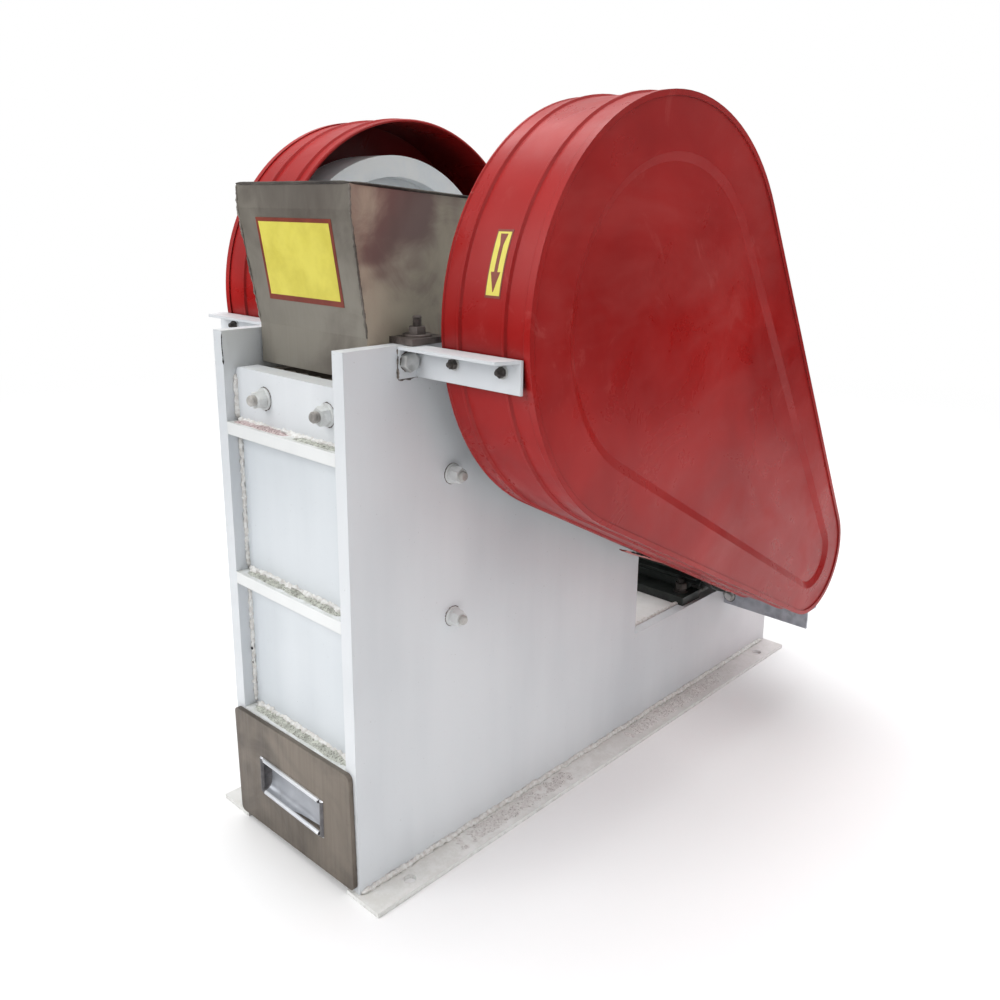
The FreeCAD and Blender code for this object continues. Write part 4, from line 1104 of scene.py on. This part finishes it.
def small_damage():
    """Crack by the left plate's top corner and two pinholes in its weld."""
    crack = ((0.2, 2.5), (0.9, 15), (-0.1, 34))     # outwards, down
    pinholes = ((-88.6, 205.0, 1.6), (-88.9, 188.0, 1.3))
    bm = bmesh.new()
    weld(bm, [(-X_IN - away, Y_FRONT - 0.05, Z_TOP - drop)
              for away, drop in crack], 0.55, 5.0, 3.0, rough=0.5)
    for x, z, r in pinholes:
        matrix = seat(x, panel_lo.y - 3.4, z, "-Y")
        lathe(bm, [(0.0, -0.6), (r, -0.4), (r * 0.9, 0.2), (0.0, 0.35)],
              matrix, 12)
    finish_piece("weld_pinholes", bm, [black_gap])


# ------------------------------------------------------ motor and wheel parts
def cage_ring(bm, matrix, radius, wire, height):
    """Round wire bent to a ring, standing off a face."""
    profile = [(radius + wire * math.cos(a), height + wire * math.sin(a))
               for a in (math.pi * k / 4 for k in range(8))]
    lathe(bm, profile, matrix, 48, closed=True)


def motor_fittings():
    """Fan-cowl grille, terminal-box lid and cable gland."""
    lo = corner("motor_fan_cowl", 0)
    _, y, z = centre("motor_fan_cowl")
    bm = bmesh.new()
    matrix = seat(lo.x, y, z, "-X")
    for radius in (16.0, 28.0, 40.0, 52.0, 64.0):
        cage_ring(bm, matrix, radius, 1.5, 1.0)
    for k in range(8):
        angle = math.radians(45 * k + 22.5)
        way = matrix.to_3x3() @ Vector((math.cos(angle), math.sin(angle), 0))
        start = Vector((lo.x - 0.8, y, z))
        weld(bm, [start + way * 15.0, start + way * 66.0], 1.5, k, 6.0,
             rough=0.0, ripple=0.0)
    finish_piece("motor_cowl_grille", bm, [pulley_iron])
    lo, hi = corners("motor_terminal_box")
    bm = bmesh.new()
    bmesh.ops.create_cube(bm, size=1.0, matrix=Matrix.Translation(
        ((lo.x + hi.x) / 2, (lo.y + hi.y) / 2, hi.z + 1.6)) @ Matrix.Diagonal(
            (hi.x - lo.x + 3.0, hi.y - lo.y + 3.0, 4.4, 1.0)))
    bmesh.ops.bevel(bm, geom=bm.edges[:], offset=1.6, segments=3,
                    affect="EDGES")
    at = seat(lo.x + 26.0, lo.y + 1.0, (lo.z + hi.z) / 2, "-Y", 15)
    hexagon(bm, at, 0.0, 26.0, 8.0)
    lathe(bm, [(0, 8.0), (10.5, 8.0), (10.5, 14.0), (9.0, 18.0), (6.5, 19.0),
               (6.0, 17.0), (0, 17.0)], at, 28)
    finish_piece("motor_box_lid_and_gland", bm, [motor_paint])


def wheel_details():
    """Turned rings and a raised hub ring on both wheels' outer faces."""
    lo = corner("flywheel", 0)
    _, y, z = centre("flywheel")
    bm = bmesh.new()
    for x, axis in ((lo.x, "-X"), (corner("belt_pulley", 1).x, "+X")):
        matrix = seat(x, y, z, axis, 20)
        for radius in (150.0, 163.0):
            cage_ring(bm, matrix, radius, 0.9, -0.3)
        lathe(bm, [(23.5, -0.2), (34.0, -0.2), (33.0, 0.9), (24.5, 0.9)],
              matrix, 48, closed=True)
    finish_piece("wheel_turned_rings", bm, [wheel_white_painted_light], body="rotor")


front_studs()
side_studs()
bracket_bolts()
lug_studs()
housing_bolts()
motor_bolts()
wheel_end_bolts()
frame_welds()
bracket_welds()
ledge_dust()
flat_label()
arrow_decal()
hopper_seams()
drawer_pull()
torn_lip()
small_damage()
motor_fittings()
wheel_details()


# ------------------------------------------------------- floor, light, camera
BACKDROP = (1.0, 1.0, 1.0, 1.0)


def studio():
    scene = bpy.context.scene
    mesh = bpy.data.meshes.new("floor")
    bm = bmesh.new()
    bmesh.ops.create_circle(bm, cap_ends=True, segments=96, radius=30.0)
    bm.to_mesh(mesh)
    bm.free()
    s = Shader("floor_white", Roughness=0.9, Specular_IOR_Level=0.0,
               Emission_Color=BACKDROP)
    reach = s.add("ShaderNodeVectorMath", operation="LENGTH")
    s.tree.links.new(s.coord, reach.inputs[0])
    far = s.span(reach.outputs["Value"], 0.9, 3.2)
    seen = s.add("ShaderNodeLightPath").outputs["Is Camera Ray"]
    s.set("Base Color", s.mix(far, s.mix(s.noise(3.0, 2.0),
                                         srgb(250, 250, 250),
                                         srgb(246, 246, 247)),
                              srgb(0, 0, 0)))
    s.set("Emission Strength", s.times(far, seen))
    mesh.materials.append(s.mat)
    floor = bpy.data.objects.new("floor", mesh)
    scene.collection.objects.link(floor)

    world = bpy.data.worlds.new("studio")
    scene.world = world
    world.use_nodes = True
    tree = world.node_tree
    back = tree.nodes["Background"]
    direction = tree.nodes.new("ShaderNodeTexCoord").outputs["Generated"]
    split = tree.nodes.new("ShaderNodeSeparateXYZ")
    tree.links.new(direction, split.inputs[0])
    rise = tree.nodes.new("ShaderNodeMapRange")
    tree.links.new(split.outputs["Z"], rise.inputs["Value"])
    for key, number in (("From Min", 0.0), ("From Max", 0.8),
                        ("To Min", 0.42), ("To Max", 0.8)):
        rise.inputs[key].default_value = number
    sky = tree.nodes.new("ShaderNodeCombineColor")
    for key in ("Red", "Green", "Blue"):
        tree.links.new(rise.outputs[0], sky.inputs[key])
    seen = tree.nodes.new("ShaderNodeLightPath").outputs["Is Camera Ray"]
    choose = tree.nodes.new("ShaderNodeMix")
    choose.data_type = "RGBA"
    tree.links.new(seen, choose.inputs["Factor"])
    tree.links.new(sky.outputs[0], choose.inputs["A"])
    choose.inputs["B"].default_value = BACKDROP
    tree.links.new(choose.outputs["Result"], back.inputs["Color"])

    def softbox(name, at, aim, size, power):
        data = bpy.data.lights.new(name, "AREA")
        data.shape = "RECTANGLE"
        data.size, data.size_y = size
        data.energy = power
        lamp = bpy.data.objects.new(name, data)
        lamp.location = at
        lamp.rotation_mode = "QUATERNION"
        lamp.rotation_quaternion = (Vector(aim) - Vector(at)).to_track_quat(
            "-Z", "Y")
        scene.collection.objects.link(lamp)

    softbox("front_softbox", (-1.0, -3.0, 2.2), (0, -0.2, 0.35), (2.2, 1.8),
            54.0)
    softbox("top_softbox", (-0.5, 0.5, 3.2), (0, 0, 0.4), (2.6, 2.6), 62.0)
    softbox("side_softbox", (3.0, 0.2, 2.0), (0, 0.1, 0.35), (1.8, 2.2), 12.0)

    azimuth, elevation, roll = (math.radians(a)
                                for a in (43.33, 14.534, 0.595))
    back_way = Vector((math.sin(azimuth) * math.cos(elevation),
                       -math.cos(azimuth) * math.cos(elevation),
                       math.sin(elevation)))
    right = Vector((math.cos(azimuth), math.sin(azimuth), 0))
    up = back_way.cross(right)
    turned_right = right * math.cos(roll) + up * math.sin(roll)
    turned_up = up * math.cos(roll) - right * math.sin(roll)
    data = bpy.data.cameras.new("camera")
    data.lens = 34.179
    data.sensor_width = 36.0
    data.shift_y = -0.05
    camera = bpy.data.objects.new("camera", data)
    camera.matrix_world = Matrix.Translation((0.7636, -0.9091, 0.6807)) @ (
        Matrix((turned_right, turned_up, back_way)).transposed().to_4x4())
    scene.collection.objects.link(camera)
    scene.camera = camera
    scene.view_settings.view_transform = "Standard"


studio()
